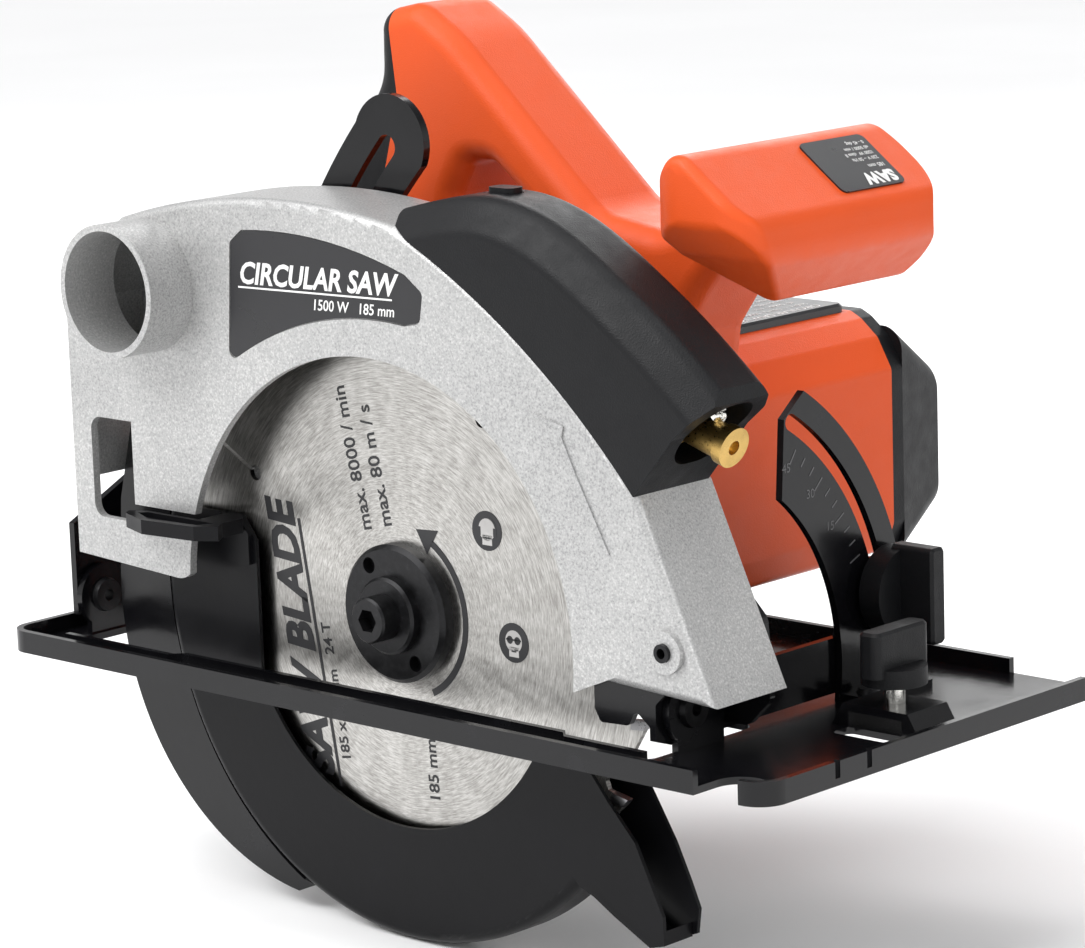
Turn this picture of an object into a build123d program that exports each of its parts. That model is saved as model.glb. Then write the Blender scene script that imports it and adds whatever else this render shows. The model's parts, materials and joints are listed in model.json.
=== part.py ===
"""Hand-held circular saw with a 185 mm blade, millimetres.

+X is the cutting direction, +Y runs from the blade to the motor end and +Z is up.
The origin lies on the underside of the shoe, below the spindle, in the middle of the
blade's thickness. The saw is drawn square to the shoe and at full cutting depth.
"""

import os
from math import atan2, cos, degrees, hypot, radians, sin, sqrt

from build123d import *

os.makedirs("parts", exist_ok=True)

# ---------------------------------------------------------------- driving dimensions
BLADE_R = 92.5
BLADE_HALF = 0.8
SPINDLE_Z = 25.0
SHOE_T = 2.0
SHOE_REAR, SHOE_FRONT = -140.0, 155.0
SHOE_NEAR, SHOE_FAR = -29.0, 115.0
LIP_H = 6.5
TILT_Z = 13.0
TILT_FRONT_X, TILT_REAR_X = 106.0, -127.4
BRACKET_T = 2.2
PIVOT_X, PIVOT_Z = 111.0, 32.0
GUARD_NEAR, GUARD_FAR = -15.0, 15.0
GUARD_T = 2.5
LINK_R_MID, LINK_SLOT = 176.5, 7.0
LINK_NEAR = 17.6
MOTOR_X, MOTOR_Z = 20.0, 58.0
MOTOR_NEAR, MOTOR_JOINT, MOTOR_FAR = 45.0, 144.0, 172.0
HANDLE_Y = 60.0
HANDLE_HALF = 15.0
GRIP_NEAR, GRIP_FAR = 18.0, 102.0
RUN = 0.05

GEAR_MODULE = 1.0
SPINDLE_TEETH, LAY_PINION_TEETH = 36, 14
LAY_GEAR_TEETH, MOTOR_TEETH = 20, 10


# ---------------------------------------------------------------- helpers
def side(y):
    """Plane facing the blade side at a given y, with local axes (X, Z)."""
    return Plane(origin=(0, y, 0), x_dir=(1, 0, 0), z_dir=(0, -1, 0))


def front(x):
    """Plane facing forward at a given x, with local axes (Y, Z)."""
    return Plane(origin=(x, 0, 0), x_dir=(0, 1, 0), z_dir=(1, 0, 0))


def polar(radius, angle, centre=(0.0, 0.0)):
    """Point at a radius and an angle in degrees about a centre."""
    return (
        centre[0] + radius * cos(radians(angle)),
        centre[1] + radius * sin(radians(angle)),
    )


def save(builder, name):
    """Label a finished piece and write its STEP file."""
    builder.part.label = name
    export_step(builder.part, f"parts/{name}.step")


def bore(radius, x, z, y0, y1):
    """Cut a round hole along Y from y0 to y1 in the part being built."""
    with BuildSketch(side(y1)) as disc:
        with Locations((x, z)):
            Circle(radius)
    extrude(disc.sketch, amount=y1 - y0, mode=Mode.SUBTRACT)


def barrel(radius, x, z, y0, y1):
    """Add a round bar along Y from y0 to y1 to the part being built."""
    with BuildSketch(side(y1)) as disc:
        with Locations((x, z)):
            Circle(radius)
    extrude(disc.sketch, amount=y1 - y0)


def sector(inner, outer, start, end, centre, mode=Mode.ADD):
    """Ring sector about a centre, angles in degrees, start below end."""
    with BuildLine() as outline:
        a = CenterArc(centre, outer, start, end - start)
        b = CenterArc(centre, inner, start, end - start)
        Line(a @ 0, b @ 0)
        Line(a @ 1, b @ 1)
    make_face(outline.edges(), mode=mode)


def arc_slot(radius, width, start, end, centre, mode=Mode.ADD):
    """Curved slot with round ends, following an arc about a centre."""
    sector(radius - width / 2, radius + width / 2, start, end, centre, mode)
    with Locations(polar(radius, start, centre), polar(radius, end, centre)):
        Circle(width / 2, mode=mode)


def gear_teeth(teeth, phase, centre):
    """Spur gear with straight-flanked teeth and a little backlash, about a centre."""
    pitch = GEAR_MODULE * teeth / 2
    root = pitch - 1.15 * GEAR_MODULE
    tip = pitch + 0.85 * GEAR_MODULE
    step = 360 / teeth
    share = ((root, 0.36), (pitch, 0.225), (tip, 0.10))
    points = []
    for index in range(teeth):
        angle = phase + index * step
        for radius, part in share:
            points.append(polar(radius, angle - part * step, centre))
        for radius, part in reversed(share):
            points.append(polar(radius, angle + part * step, centre))
    with BuildLine() as outline:
        Polyline(*points, close=True)
    make_face(outline.edges())


# ================================================================ shoe
SLOT_NEAR, SLOT_FAR = -16.0, 28.0
SLOT_REAR, SLOT_FRONT = -126.0, 104.0
SLOT_STEP = 3.0
NOTCH_X, NOTCH_W = 138.5, 15.0
FENCE_X, FENCE_Y = 134.0, 50.0
KERF_0, KERF_45 = 0.0, TILT_Z

with BuildPart() as base_plate:
    with BuildSketch():
        with Locations(((SHOE_REAR + SHOE_FRONT) / 2, (SHOE_NEAR + SHOE_FAR) / 2)):
            RectangleRounded(SHOE_FRONT - SHOE_REAR, SHOE_FAR - SHOE_NEAR, 8)
    extrude(amount=LIP_H)
    # pressed tray: the sheet stays SHOE_T thick behind its turned-up rim
    with BuildSketch(Plane.XY.offset(SHOE_T)):
        with Locations(((SHOE_REAR + SHOE_FRONT) / 2, (SHOE_NEAR + SHOE_FAR) / 2)):
            RectangleRounded(
                SHOE_FRONT - SHOE_REAR - 2 * SHOE_T,
                SHOE_FAR - SHOE_NEAR - 2 * SHOE_T,
                8 - SHOE_T,
            )
    extrude(amount=LIP_H, mode=Mode.SUBTRACT)
    # the rim is left off the far front corner and beside the sight notch
    with BuildSketch(Plane.XY.offset(SHOE_T)):
        with Locations((SHOE_FRONT - 8, SHOE_FAR)):
            Rectangle(44, 14)
    extrude(amount=LIP_H, mode=Mode.SUBTRACT)
    with BuildSketch():
        with Locations((NOTCH_X, SHOE_NEAR)):
            SlotOverall(34, NOTCH_W, rotation=90)
    extrude(amount=LIP_H, mode=Mode.SUBTRACT)
    # blade opening with its turned-up near edge
    with BuildSketch():
        with BuildLine():
            Polyline(
                (SLOT_REAR, SLOT_NEAR),
                (-80, SLOT_NEAR),
                (-77, SLOT_NEAR + SLOT_STEP),
                (72, SLOT_NEAR + SLOT_STEP),
                (75, SLOT_NEAR),
                (SLOT_FRONT, SLOT_NEAR),
                (SLOT_FRONT, SLOT_FAR),
                (SLOT_REAR, SLOT_FAR),
                close=True,
            )
        opening = make_face()
        fillet(opening.vertices().filter_by(lambda v: abs(v.X) > 90), radius=4)
    extrude(amount=LIP_H, mode=Mode.SUBTRACT)
    with BuildSketch():
        with BuildLine():
            Polyline(
                (SLOT_REAR, SLOT_NEAR - 1.8),
                (-80.9, SLOT_NEAR - 1.8),
                (-77.9, SLOT_NEAR + SLOT_STEP - 1.8),
                (72.9, SLOT_NEAR + SLOT_STEP - 1.8),
                (75.9, SLOT_NEAR - 1.8),
                (SLOT_FRONT, SLOT_NEAR - 1.8),
                (SLOT_FRONT, SLOT_NEAR),
                (75, SLOT_NEAR),
                (72, SLOT_NEAR + SLOT_STEP),
                (-77, SLOT_NEAR + SLOT_STEP),
                (-80, SLOT_NEAR),
                (SLOT_REAR, SLOT_NEAR),
                close=True,
            )
        make_face()
    extrude(amount=4.6)
    # upright pivot tabs for the bevel hinge
    for x_front in (TILT_FRONT_X, TILT_REAR_X):
        with BuildSketch(front(x_front - BRACKET_T)):
            with Locations((0, TILT_Z)):
                Circle(9.5)
            with Locations((3.25, TILT_Z / 2)):
                Rectangle(18.5, TILT_Z)
            with Locations((0, TILT_Z)):
                Circle(3 + RUN, mode=Mode.SUBTRACT)
        extrude(amount=BRACKET_T)
    # pressed bridge over the rip-fence bar, with the bar's two windows
    with BuildSketch():
        with Locations((FENCE_X, FENCE_Y - 11.5), (FENCE_X, FENCE_Y + 11.5)):
            RectangleRounded(19, 8, 2)
    extrude(amount=SHOE_T, mode=Mode.SUBTRACT)
    with BuildSketch(side(FENCE_Y + 8.5)):
        with BuildLine():
            Polyline(
                (FENCE_X - 15, SHOE_T),
                (FENCE_X - 11, 8.5),
                (FENCE_X + 11, 8.5),
                (FENCE_X + 15, SHOE_T),
                close=True,
            )
        make_face()
    extrude(amount=17)
    with BuildSketch(side(FENCE_Y + 9)):
        with Locations((FENCE_X, 4.1)):
            Rectangle(18, 4.6)
    extrude(amount=18, mode=Mode.SUBTRACT)
    with Locations((FENCE_X, FENCE_Y, 8.5)):
        Hole(3 + RUN, depth=3)
    # sight notches for square and 45 degree cuts
    with BuildSketch(Plane.XY.offset(SHOE_T)):
        with Locations((SHOE_FRONT, KERF_0), (SHOE_FRONT, KERF_45)):
            Rectangle(6, 2)
    extrude(amount=LIP_H, mode=Mode.SUBTRACT)
save(base_plate, "base_plate")

QUAD_IN, QUAD_OUT, QUAD_SLOT = 62.5, 91.5, 82.0
STUD_ANGLE = 12.5
STUD_Y, STUD_Z = polar(QUAD_SLOT, STUD_ANGLE, (0, TILT_Z))
STUD_R = 2.0

with BuildPart() as bevel_quadrant:
    with BuildSketch(front(TILT_FRONT_X - BRACKET_T)):
        with BuildLine():
            foot_in = (sqrt(QUAD_IN**2 - (TILT_Z - SHOE_T) ** 2), SHOE_T)
            foot_out = (sqrt(QUAD_OUT**2 - (TILT_Z - SHOE_T) ** 2), SHOE_T)
            neck = polar(QUAD_IN, 52, (0, TILT_Z))
            shoulder = (40.0, 84.0)
            apex = polar(QUAD_OUT, 58, (0, TILT_Z))
            ThreePointArc(foot_in, polar(QUAD_IN, 24, (0, TILT_Z)), neck)
            Line(neck, shoulder)
            Line(shoulder, apex)
            ThreePointArc(apex, polar(QUAD_OUT, 28, (0, TILT_Z)), foot_out)
            Line(foot_out, foot_in)
        outline = make_face()
        fillet(outline.vertices().filter_by(lambda v: v.Z > 60), radius=3)
    extrude(amount=BRACKET_T)
    with BuildSketch(front(TILT_FRONT_X - BRACKET_T)):
        arc_slot(QUAD_SLOT, 2 * STUD_R + 0.6, STUD_ANGLE - 1, STUD_ANGLE + 46, (0, TILT_Z))
    extrude(amount=BRACKET_T, mode=Mode.SUBTRACT)
    # foot flange with two rivet holes, resting on the shoe
    with BuildSketch(Plane.XY.offset(SHOE_T)):
        with Locations((TILT_FRONT_X + 4, (foot_in[0] + foot_out[0]) / 2)):
            RectangleRounded(8 + 2 * BRACKET_T, 29, 2)
        with Locations((TILT_FRONT_X + 5, foot_in[0] + 6), (TILT_FRONT_X + 5, foot_out[0] - 6)):
            Circle(2, mode=Mode.SUBTRACT)
    extrude(amount=BRACKET_T)
save(bevel_quadrant, "bevel_quadrant")

# hollow rivets that carry the bevel hinge: one at the front tab and one at the rear tab
with BuildPart() as shoe_rivets:
    for x_front in (TILT_FRONT_X, TILT_REAR_X):
        x_rear = x_front - 2 * BRACKET_T - 0.2
        with BuildSketch(front(x_rear)):
            with Locations((0, TILT_Z)):
                Circle(3)
        extrude(amount=x_front - x_rear)
        with BuildSketch(front(x_front)):
            with Locations((0, TILT_Z)):
                Circle(5.2)
        extrude(amount=1.6, taper=15)
        with BuildSketch(front(x_rear - 0.2)):
            with Locations((0, TILT_Z)):
                Circle(4.6)
        extrude(amount=-1.2, taper=15)
        with BuildSketch(front(x_rear - 0.2)):
            with Locations((0, TILT_Z)):
                Circle(3)
        extrude(amount=0.2)
        with BuildSketch(front(x_rear - 2)):
            with Locations((0, TILT_Z)):
                Circle(1.8)
        extrude(amount=12, mode=Mode.SUBTRACT)
    # two solid rivets hold the bevel quadrant's foot
    for y in (foot_in[0] + 6, foot_out[0] - 6):
        with BuildSketch(Plane.XY.offset(SHOE_T)):
            with Locations((TILT_FRONT_X + 5, y)):
                Circle(2)
        extrude(amount=BRACKET_T)
        with BuildSketch(Plane.XY.offset(SHOE_T + BRACKET_T)):
            with Locations((TILT_FRONT_X + 5, y)):
                Circle(3.4)
        extrude(amount=1.4, taper=25)
save(shoe_rivets, "shoe_rivets")

FENCE_KNOB_Z = 14.0
with BuildPart() as fence_screw:
    with BuildSketch(Plane.XY.offset(6.6)):
        with Locations((FENCE_X, FENCE_Y)):
            Circle(2.95)
    extrude(amount=FENCE_KNOB_Z + 6 - 6.6)
save(fence_screw, "fence_screw")

with BuildPart() as fence_knob:
    with BuildSketch(Plane.XY.offset(FENCE_KNOB_Z)):
        with Locations((FENCE_X, FENCE_Y)):
            Circle(9)
    extrude(amount=5)
    with BuildSketch(Plane.XY.offset(FENCE_KNOB_Z + 3)):
        with Locations((FENCE_X, FENCE_Y)):
            RectangleRounded(7, 23, 2.5)
    extrude(amount=12.5)
    chamfer(fence_knob.faces().sort_by(Axis.Z)[-1].edges(), 0.8)
    with BuildSketch(Plane.XY.offset(FENCE_KNOB_Z)):
        with Locations((FENCE_X, FENCE_Y)):
            Circle(2.95)
    extrude(amount=6, mode=Mode.SUBTRACT)
save(fence_knob, "fence_knob")

# ================================================================ tilt frame
PLATE_X = TILT_FRONT_X - BRACKET_T - 0.2
EAR_NEAR_Y = GUARD_NEAR + GUARD_T + 0.6
EAR_FAR_Y = GUARD_FAR + 0.4
EAR_T = 2.0
PIN_R = 2.5

with BuildPart() as tilt_bracket:
    with BuildSketch(front(PLATE_X - BRACKET_T)):
        with BuildLine():
            Polyline(
                (EAR_NEAR_Y, 6),
                (EAR_NEAR_Y, 17),
                (16, 17),
                (20, 19.5),
                (64, 19.5),
                (STUD_Y - 9, STUD_Z + 8),
                (STUD_Y + 9, STUD_Z + 8),
                (STUD_Y + 9, 14),
                (STUD_Y - 2, 4),
                (-6, 4),
                close=True,
            )
        plate_outline = make_face()
        fillet(plate_outline.vertices().filter_by(lambda v: v.Y > 60), radius=4)
        with Locations((0, TILT_Z)):
            Circle(3 + RUN, mode=Mode.SUBTRACT)
        with Locations((STUD_Y, STUD_Z)):
            Circle(STUD_R, mode=Mode.SUBTRACT)
    extrude(amount=BRACKET_T)
    # near ear, bent back and forward inside the guard casting
    with BuildSketch(side(EAR_NEAR_Y + EAR_T)):
        with BuildLine():
            Polyline(
                (82, 12),
                (82, 22),
                (101, 34),
                (107, 36.5),
                (112.5, 36.5),
                (114.5, 31),
                (110, 22),
                (PLATE_X, 16),
                (PLATE_X, 8),
                (96.5, 13.5),
                (94, 9),
                (84, 8.5),
                close=True,
            )
        near_ear = make_face()
        fillet(near_ear.vertices(), radius=1.5)
        with Locations((PIVOT_X, PIVOT_Z)):
            Circle(PIN_R, mode=Mode.SUBTRACT)
    extrude(amount=EAR_T)
    # far ear, outside the guard casting
    with BuildSketch(side(EAR_FAR_Y + EAR_T)):
        with BuildLine():
            Polyline(
                (PLATE_X - BRACKET_T, 6),
                (PLATE_X - BRACKET_T, 40),
                (112, 42),
                (118, 36),
                (120, 14),
                (112, 6),
                close=True,
            )
        far_ear = make_face()
        fillet(far_ear.vertices().filter_by(lambda v: v.X > 110), radius=4)
        with Locations((PIVOT_X, PIVOT_Z)):
            Circle(PIN_R, mode=Mode.SUBTRACT)
    extrude(amount=EAR_T)
save(tilt_bracket, "tilt_bracket")

with BuildPart() as depth_pivot_pin:
    barrel(PIN_R, PIVOT_X, PIVOT_Z, GUARD_NEAR - 2.6, EAR_FAR_Y + EAR_T + 1.5)
    bore(1.4, PIVOT_X, PIVOT_Z, GUARD_NEAR - 3, EAR_FAR_Y + EAR_T + 2)
save(depth_pivot_pin, "depth_pivot_pin")

STUD_HEAD = 2.2
KNOB_X = 108.2
with BuildPart() as bevel_stud:
    with BuildSketch(front(PLATE_X - BRACKET_T)):
        with Locations((STUD_Y, STUD_Z)):
            Circle(6)
    extrude(amount=-STUD_HEAD, taper=20)
    with BuildSketch(front(PLATE_X - BRACKET_T)):
        with Locations((STUD_Y, STUD_Z)):
            Circle(STUD_R)
    extrude(amount=122 - PLATE_X)
save(bevel_stud, "bevel_stud")

with BuildPart() as bevel_washer:
    with BuildSketch(front(TILT_FRONT_X + 0.3)):
        with Locations((STUD_Y, STUD_Z)):
            Circle(7)
            Circle(STUD_R + 0.3, mode=Mode.SUBTRACT)
    extrude(amount=1.4)
save(bevel_washer, "bevel_washer")

with BuildPart() as bevel_knob:
    with BuildSketch(front(KNOB_X)):
        with Locations((STUD_Y, STUD_Z)):
            Circle(12.5)
    extrude(amount=7)
    with BuildSketch(front(KNOB_X + 4)):
        with Locations((STUD_Y, STUD_Z)):
            RectangleRounded(6, 27, 1.5)
    extrude(amount=14)
    chamfer(bevel_knob.faces().sort_by(Axis.X)[-1].edges(), 0.8)
    with BuildSketch(front(KNOB_X)):
        with Locations((STUD_Y, STUD_Z)):
            Circle(STUD_R + RUN)
    extrude(amount=13, mode=Mode.SUBTRACT)
save(bevel_knob, "bevel_knob")

REAR_X = TILT_REAR_X - BRACKET_T - 0.2
PIVOT = (PIVOT_X, PIVOT_Z)
LINK_T = 2.5
LINK_TOP, LINK_LOW = 137.0, 172.0
BAND = 13.0

with BuildPart() as depth_link:
    # upright plate on the rear bevel pivot
    with BuildSketch(front(REAR_X - BRACKET_T)):
        with BuildLine():
            Polyline(
                (-9, 8),
                (-9, 36),
                (LINK_NEAR + LINK_T, 50),
                (LINK_NEAR + LINK_T, 6),
                close=True,
            )
        rear_outline = make_face()
        fillet(rear_outline.vertices().filter_by(lambda v: v.Y < 0), radius=2)
        with Locations((0, TILT_Z)):
            Circle(3 + RUN, mode=Mode.SUBTRACT)
    extrude(amount=BRACKET_T)
    # arm along the motor side of the guard
    with BuildSketch(side(LINK_NEAR + LINK_T)):
        with BuildLine():
            outer_low = polar(LINK_R_MID + BAND, LINK_LOW - 3, PIVOT)
            outer_top = polar(LINK_R_MID + BAND, LINK_TOP + 1, PIVOT)
            inner_top = polar(LINK_R_MID - BAND, LINK_TOP - 2, PIVOT)
            inner_low = polar(LINK_R_MID - BAND, LINK_LOW + 4, PIVOT)
            crown = polar(LINK_R_MID, LINK_TOP - 5, PIVOT)
            Polyline(
                inner_low,
                (inner_low[0], 30),
                (REAR_X - BRACKET_T, 30),
                (REAR_X - BRACKET_T, 50),
                (-112, 58),
                outer_low,
            )
            ThreePointArc(
                outer_low, polar(LINK_R_MID + BAND, (LINK_TOP + LINK_LOW) / 2, PIVOT), outer_top
            )
            ThreePointArc(outer_top, crown, inner_top)
            ThreePointArc(
                inner_top, polar(LINK_R_MID - BAND, (LINK_TOP + LINK_LOW) / 2, PIVOT), inner_low
            )
        make_face()
        arc_slot(LINK_R_MID, LINK_SLOT, LINK_TOP, LINK_LOW, PIVOT, Mode.SUBTRACT)
    extrude(amount=LINK_T)
save(depth_link, "depth_link")

# ================================================================ upper guard casting
PORT_X, PORT_Z, PORT_R, PORT_T = -84.5, 112.5, 19.3, 1.9
PORT_RIM = -31.0
WINDOW = (-112.5, -94.7, 41.6, 71.5)
MOUTH_R, MOUTH_X, MOUTH_Z = 75.0, 2.6, 24.4
HOOK_END = -69.3
TOP_ARC = ((-96.0, 131.0), (-42.0, 140.3), (15.0, 136.3))
SHOULDER, LASER_FOOT = (63.0, 108.0), (101.5, 72.0)
GUARD_TOE = (126.0, 18.5)
BOSS_R = 19.9
BEARING_R = 14.0
HUB_NEAR = 5.6
SWING_NEAR, SWING_FAR, SWING_T = -4.3, 8.5, 1.2
KNIFE_X, KNIFE_Z, KNIFE_HALF = -99.0, 84.0, 1.0
BOLT_X, BOLT_Z = polar(LINK_R_MID, LINK_LOW - 2, PIVOT)


def label_outline(shrink):
    """Outline of the sunk name panel, drawn in by a small amount."""
    with BuildLine() as outline:
        a = Line((-51.5 + shrink, 92.5 + shrink), (-49.0 + shrink, 127.5))
        b = ThreePointArc((-44.0, 131.3 - shrink), (-8.0, 130.2 - shrink), (20.0, 123.6 - shrink))
        Line(a @ 1, b @ 0)
        c = Line((26.5 - shrink, 119.0), (25.0 - shrink, 110.5 + shrink))
        Line(b @ 1, c @ 0)
        d = ThreePointArc((19.0, 109.4 + shrink), (-21.0, 106.2 + shrink), a @ 0)
        Line(c @ 1, d @ 0)
    panel = make_face(outline.edges())
    fillet(panel.vertices().filter_by(lambda v: abs(v.X - 21) > 3), radius=2.2)


def guard_outline():
    """Side outline of the guard: rear edge, long crown, front slope and toe."""
    with BuildLine() as outline:
        crown = ThreePointArc(*TOP_ARC)
        shoulder = ThreePointArc(crown @ 1, SHOULDER, LASER_FOOT)
        Line(shoulder @ 1, GUARD_TOE)
        Polyline(
            GUARD_TOE, (88.0, 20.6), (72.0, 14.0), (60.0, 5.0), (-60.0, 5.0), (-72.0, 14.0),
            (-80.0, 27.4), (-120.6, 29.7),
        )
        Polyline((-120.6, 29.7), (-120.6, 106.0), (-114.0, 120.0), crown @ 0)
    make_face(outline.edges())


with BuildPart() as upper_guard:
    with BuildSketch(side(GUARD_FAR)):
        guard_outline()
    extrude(amount=GUARD_FAR - GUARD_NEAR)
    crease = upper_guard.edges().filter_by(lambda e: abs(e.center().Y - GUARD_NEAR) < 0.1)
    crease = crease.filter_by(lambda e: e.center().Z > 75 or e.center().X > 100)
    fillet(crease, radius=2.6)
    # hollow inside, open below and behind
    with BuildSketch(side(GUARD_FAR - GUARD_T)):
        with BuildLine():
            inner = ThreePointArc((-94.5, 128.2), (-42.0, 137.8), (13.8, 133.9))
            slope = ThreePointArc(inner @ 1, (61.2, 106.1), (99.1, 70.9))
            Polyline(
                slope @ 1, (128.9, 0.0), (-125.0, 0.0), (-125.0, 52.0), (-118.1, 52.0),
                (-118.1, 105.0), (-112.0, 117.0), inner @ 0,
            )
        make_face()
    extrude(amount=GUARD_FAR - GUARD_NEAR - 2 * GUARD_T, mode=Mode.SUBTRACT)
    # mouth in the near wall that shows the blade
    with BuildSketch(side(0)):
        with Locations((MOUTH_X, MOUTH_Z)):
            Circle(MOUTH_R)
    extrude(amount=20, mode=Mode.SUBTRACT)
    # slot for the lower guard's lever, running back into the window
    with BuildSketch(side(0)):
        with BuildLine():
            Polyline(
                (-60.0, WINDOW[2]),
                (WINDOW[0], WINDOW[2]),
                (WINDOW[0], WINDOW[3]),
                (WINDOW[1], WINDOW[3]),
                (WINDOW[1], 47.0),
                (-60.0, 47.0),
                close=True,
            )
        window_outline = make_face()
        fillet(window_outline.vertices().filter_by(lambda v: v.X < -100), radius=4)
        fillet(window_outline.vertices().filter_by(lambda v: -100 < v.X < -90 and v.Y > 50), radius=6)
    extrude(amount=20, mode=Mode.SUBTRACT)
    # rounded end of the hook below that slot
    with BuildSketch(side(0)):
        with BuildLine():
            Polyline(
                (-90.0, 28.0), (HOOK_END, 26.8), (HOOK_END, 47.0), (-50.0, 47.0), (-50.0, -2.0),
                (-90.0, -2.0), close=True,
            )
        hook_gap = make_face()
        fillet(hook_gap.vertices().sort_by_distance(Vector(HOOK_END, 26.8, 0))[0], radius=8)
    extrude(amount=20, mode=Mode.SUBTRACT)
    # the far wall leaves the rear corner open, so that chips and the knife clear it
    with BuildSketch(side(GUARD_FAR + 1)):
        with BuildLine():
            Polyline((-125, 20), (-125, 74), (-98, 74), (-88, 60), (-80, 20), close=True)
        make_face()
    extrude(amount=GUARD_T + 2, mode=Mode.SUBTRACT)
    # dust port
    with BuildSketch(side(GUARD_NEAR + 0.5)):
        with Locations((PORT_X, PORT_Z)):
            Circle(PORT_R)
    extrude(amount=GUARD_NEAR + 0.5 - PORT_RIM)
    bore(PORT_R - PORT_T, PORT_X, PORT_Z, PORT_RIM - 1, GUARD_NEAR + GUARD_T + 1)
    # boss for the lower guard's bearing and the spindle's passage
    barrel(BOSS_R, 0, SPINDLE_Z, HUB_NEAR, GUARD_FAR - GUARD_T)
    barrel(BOSS_R + 2, 0, SPINDLE_Z, SWING_FAR + 0.5, GUARD_FAR - GUARD_T)
    bore(BEARING_R, 0, SPINDLE_Z, HUB_NEAR - 1, GUARD_FAR + 1)
    with BuildSketch(side(HUB_NEAR + 1.3)):
        with Locations((0, SPINDLE_Z)):
            Circle(BOSS_R + 1)
            Circle(BOSS_R - 1.5, mode=Mode.SUBTRACT)
    extrude(amount=1.0, mode=Mode.SUBTRACT)
    # boss around the depth pivot, and its hole through both walls
    barrel(5.8, PIVOT_X, PIVOT_Z, GUARD_NEAR - 1.6, GUARD_NEAR + 0.5)
    bore(PIN_R + RUN, PIVOT_X, PIVOT_Z, GUARD_NEAR - 3, GUARD_FAR + 1)
    # lug that carries the riving knife
    with BuildSketch(side(GUARD_FAR - GUARD_T)):
        with Locations((KNIFE_X, KNIFE_Z)):
            RectangleRounded(18, 22, 4)
    extrude(amount=GUARD_FAR - GUARD_T - KNIFE_HALF)
    bore(2, KNIFE_X, KNIFE_Z - 5, KNIFE_HALF, 9)
    bore(2, KNIFE_X, KNIFE_Z + 5, KNIFE_HALF, 9)
    # recess for the guard plate
    with BuildSketch(side(GUARD_NEAR + 0.8)):
        label_outline(0.0)
    extrude(amount=2, mode=Mode.SUBTRACT)
    # raised direction mark beside the mouth
    with BuildSketch(side(GUARD_NEAR + 0.3)):
        with BuildLine():
            Polyline(
                (66.0, 90.5), (77.0, 88.0), (76.3, 85.0), (81.0, 75.5), (92.0, 55.5),
                (90.8, 55.0), (80.0, 74.9), (75.2, 84.8), (75.8, 87.2), (66.5, 89.3), close=True,
            )
        make_face()
    extrude(amount=0.8)
    # hole for the depth bolt
    with BuildSketch(side(GUARD_FAR + 1)):
        with Locations((BOLT_X, BOLT_Z)):
            Rectangle(6.1, 6.1)
    extrude(amount=GUARD_T + 2, mode=Mode.SUBTRACT)
save(upper_guard, "upper_guard")

with BuildPart() as guard_label:
    with BuildSketch(side(GUARD_NEAR + 0.8)):
        label_outline(0.3)
    extrude(amount=0.6)
save(guard_label, "guard_label")

KNIFE_IN = 97.0
with BuildPart() as riving_knife:
    with BuildSketch(side(KNIFE_HALF)):
        with BuildLine():
            tip = (-40.2, -61.8)
            low = polar(KNIFE_IN, 242.3, (0, SPINDLE_Z))
            high = polar(KNIFE_IN, 170, (0, SPINDLE_Z))
            inside = ThreePointArc(low, polar(KNIFE_IN, 206, (0, SPINDLE_Z)), high)
            outside = ThreePointArc((-47.4, -64.8), (-95.0, -41.5), (-118.9, 20.0))
            Line(tip, low)
            Line(tip, outside @ 0)
            Polyline(
                outside @ 1, (-117.0, 44.0), (KNIFE_X - 10, KNIFE_Z - 10),
                (KNIFE_X - 8, KNIFE_Z + 9), (KNIFE_X + 8, KNIFE_Z + 9),
                (KNIFE_X + 8.5, KNIFE_Z - 12), high,
            )
        make_face()
        with Locations((KNIFE_X, KNIFE_Z - 5), (KNIFE_X, KNIFE_Z + 5)):
            Circle(2, mode=Mode.SUBTRACT)
    extrude(amount=2 * KNIFE_HALF)
save(riving_knife, "riving_knife")

with BuildPart() as knife_screws:
    for z in (KNIFE_Z - 5, KNIFE_Z + 5):
        barrel(2, KNIFE_X, z, -KNIFE_HALF, 9)
        with BuildSketch(side(-KNIFE_HALF)):
            with Locations((KNIFE_X, z)):
                RegularPolygon(4, 6)
        extrude(amount=2.6)
save(knife_screws, "knife_screws")

# ================================================================ blade set
TOOTH_COUNT = 24
TOOTH_STEP = 360 / TOOTH_COUNT
FLANGE_R = 19.7


def on_blade(radius, angle):
    """Point of the blade at a radius and an angle about the spindle."""
    return polar(radius, angle, (0, SPINDLE_Z))


with BuildPart() as blade:
    with BuildSketch(side(BLADE_HALF)):
        rim = []
        for index in range(TOOTH_COUNT):
            face = 4 + index * TOOTH_STEP
            rim.append(on_blade(88.6, face - 8.6))
            rim.append(on_blade(91.7, face - 1.9))
            rim.append(on_blade(87.2, face - 2.8))
            rim.append(on_blade(87.2, face - 1.0))
            rim.append(on_blade(85.2, face - 1.2))
            rim.append(on_blade(83.4, face - 0.1))
            rim.append(on_blade(83.2, face + 1.6))
            rim.append(on_blade(84.6, face + 3.6))
            rim.append(on_blade(87.0, face + 5.4))
        with BuildLine():
            Polyline(*rim, close=True)
        make_face()
        with Locations((0, SPINDLE_Z)):
            Circle(10, mode=Mode.SUBTRACT)
        # expansion slots with a stop hole at the inner end
        for index in range(4):
            angle = 60.3 + index * 90
            with Locations(on_blade(66.7, angle)):
                Circle(2.2, mode=Mode.SUBTRACT)
            with Locations(on_blade(77.5, angle)):
                Rectangle(21, 1.1, rotation=angle, mode=Mode.SUBTRACT)
    extrude(amount=2 * BLADE_HALF)
save(blade, "blade")

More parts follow.
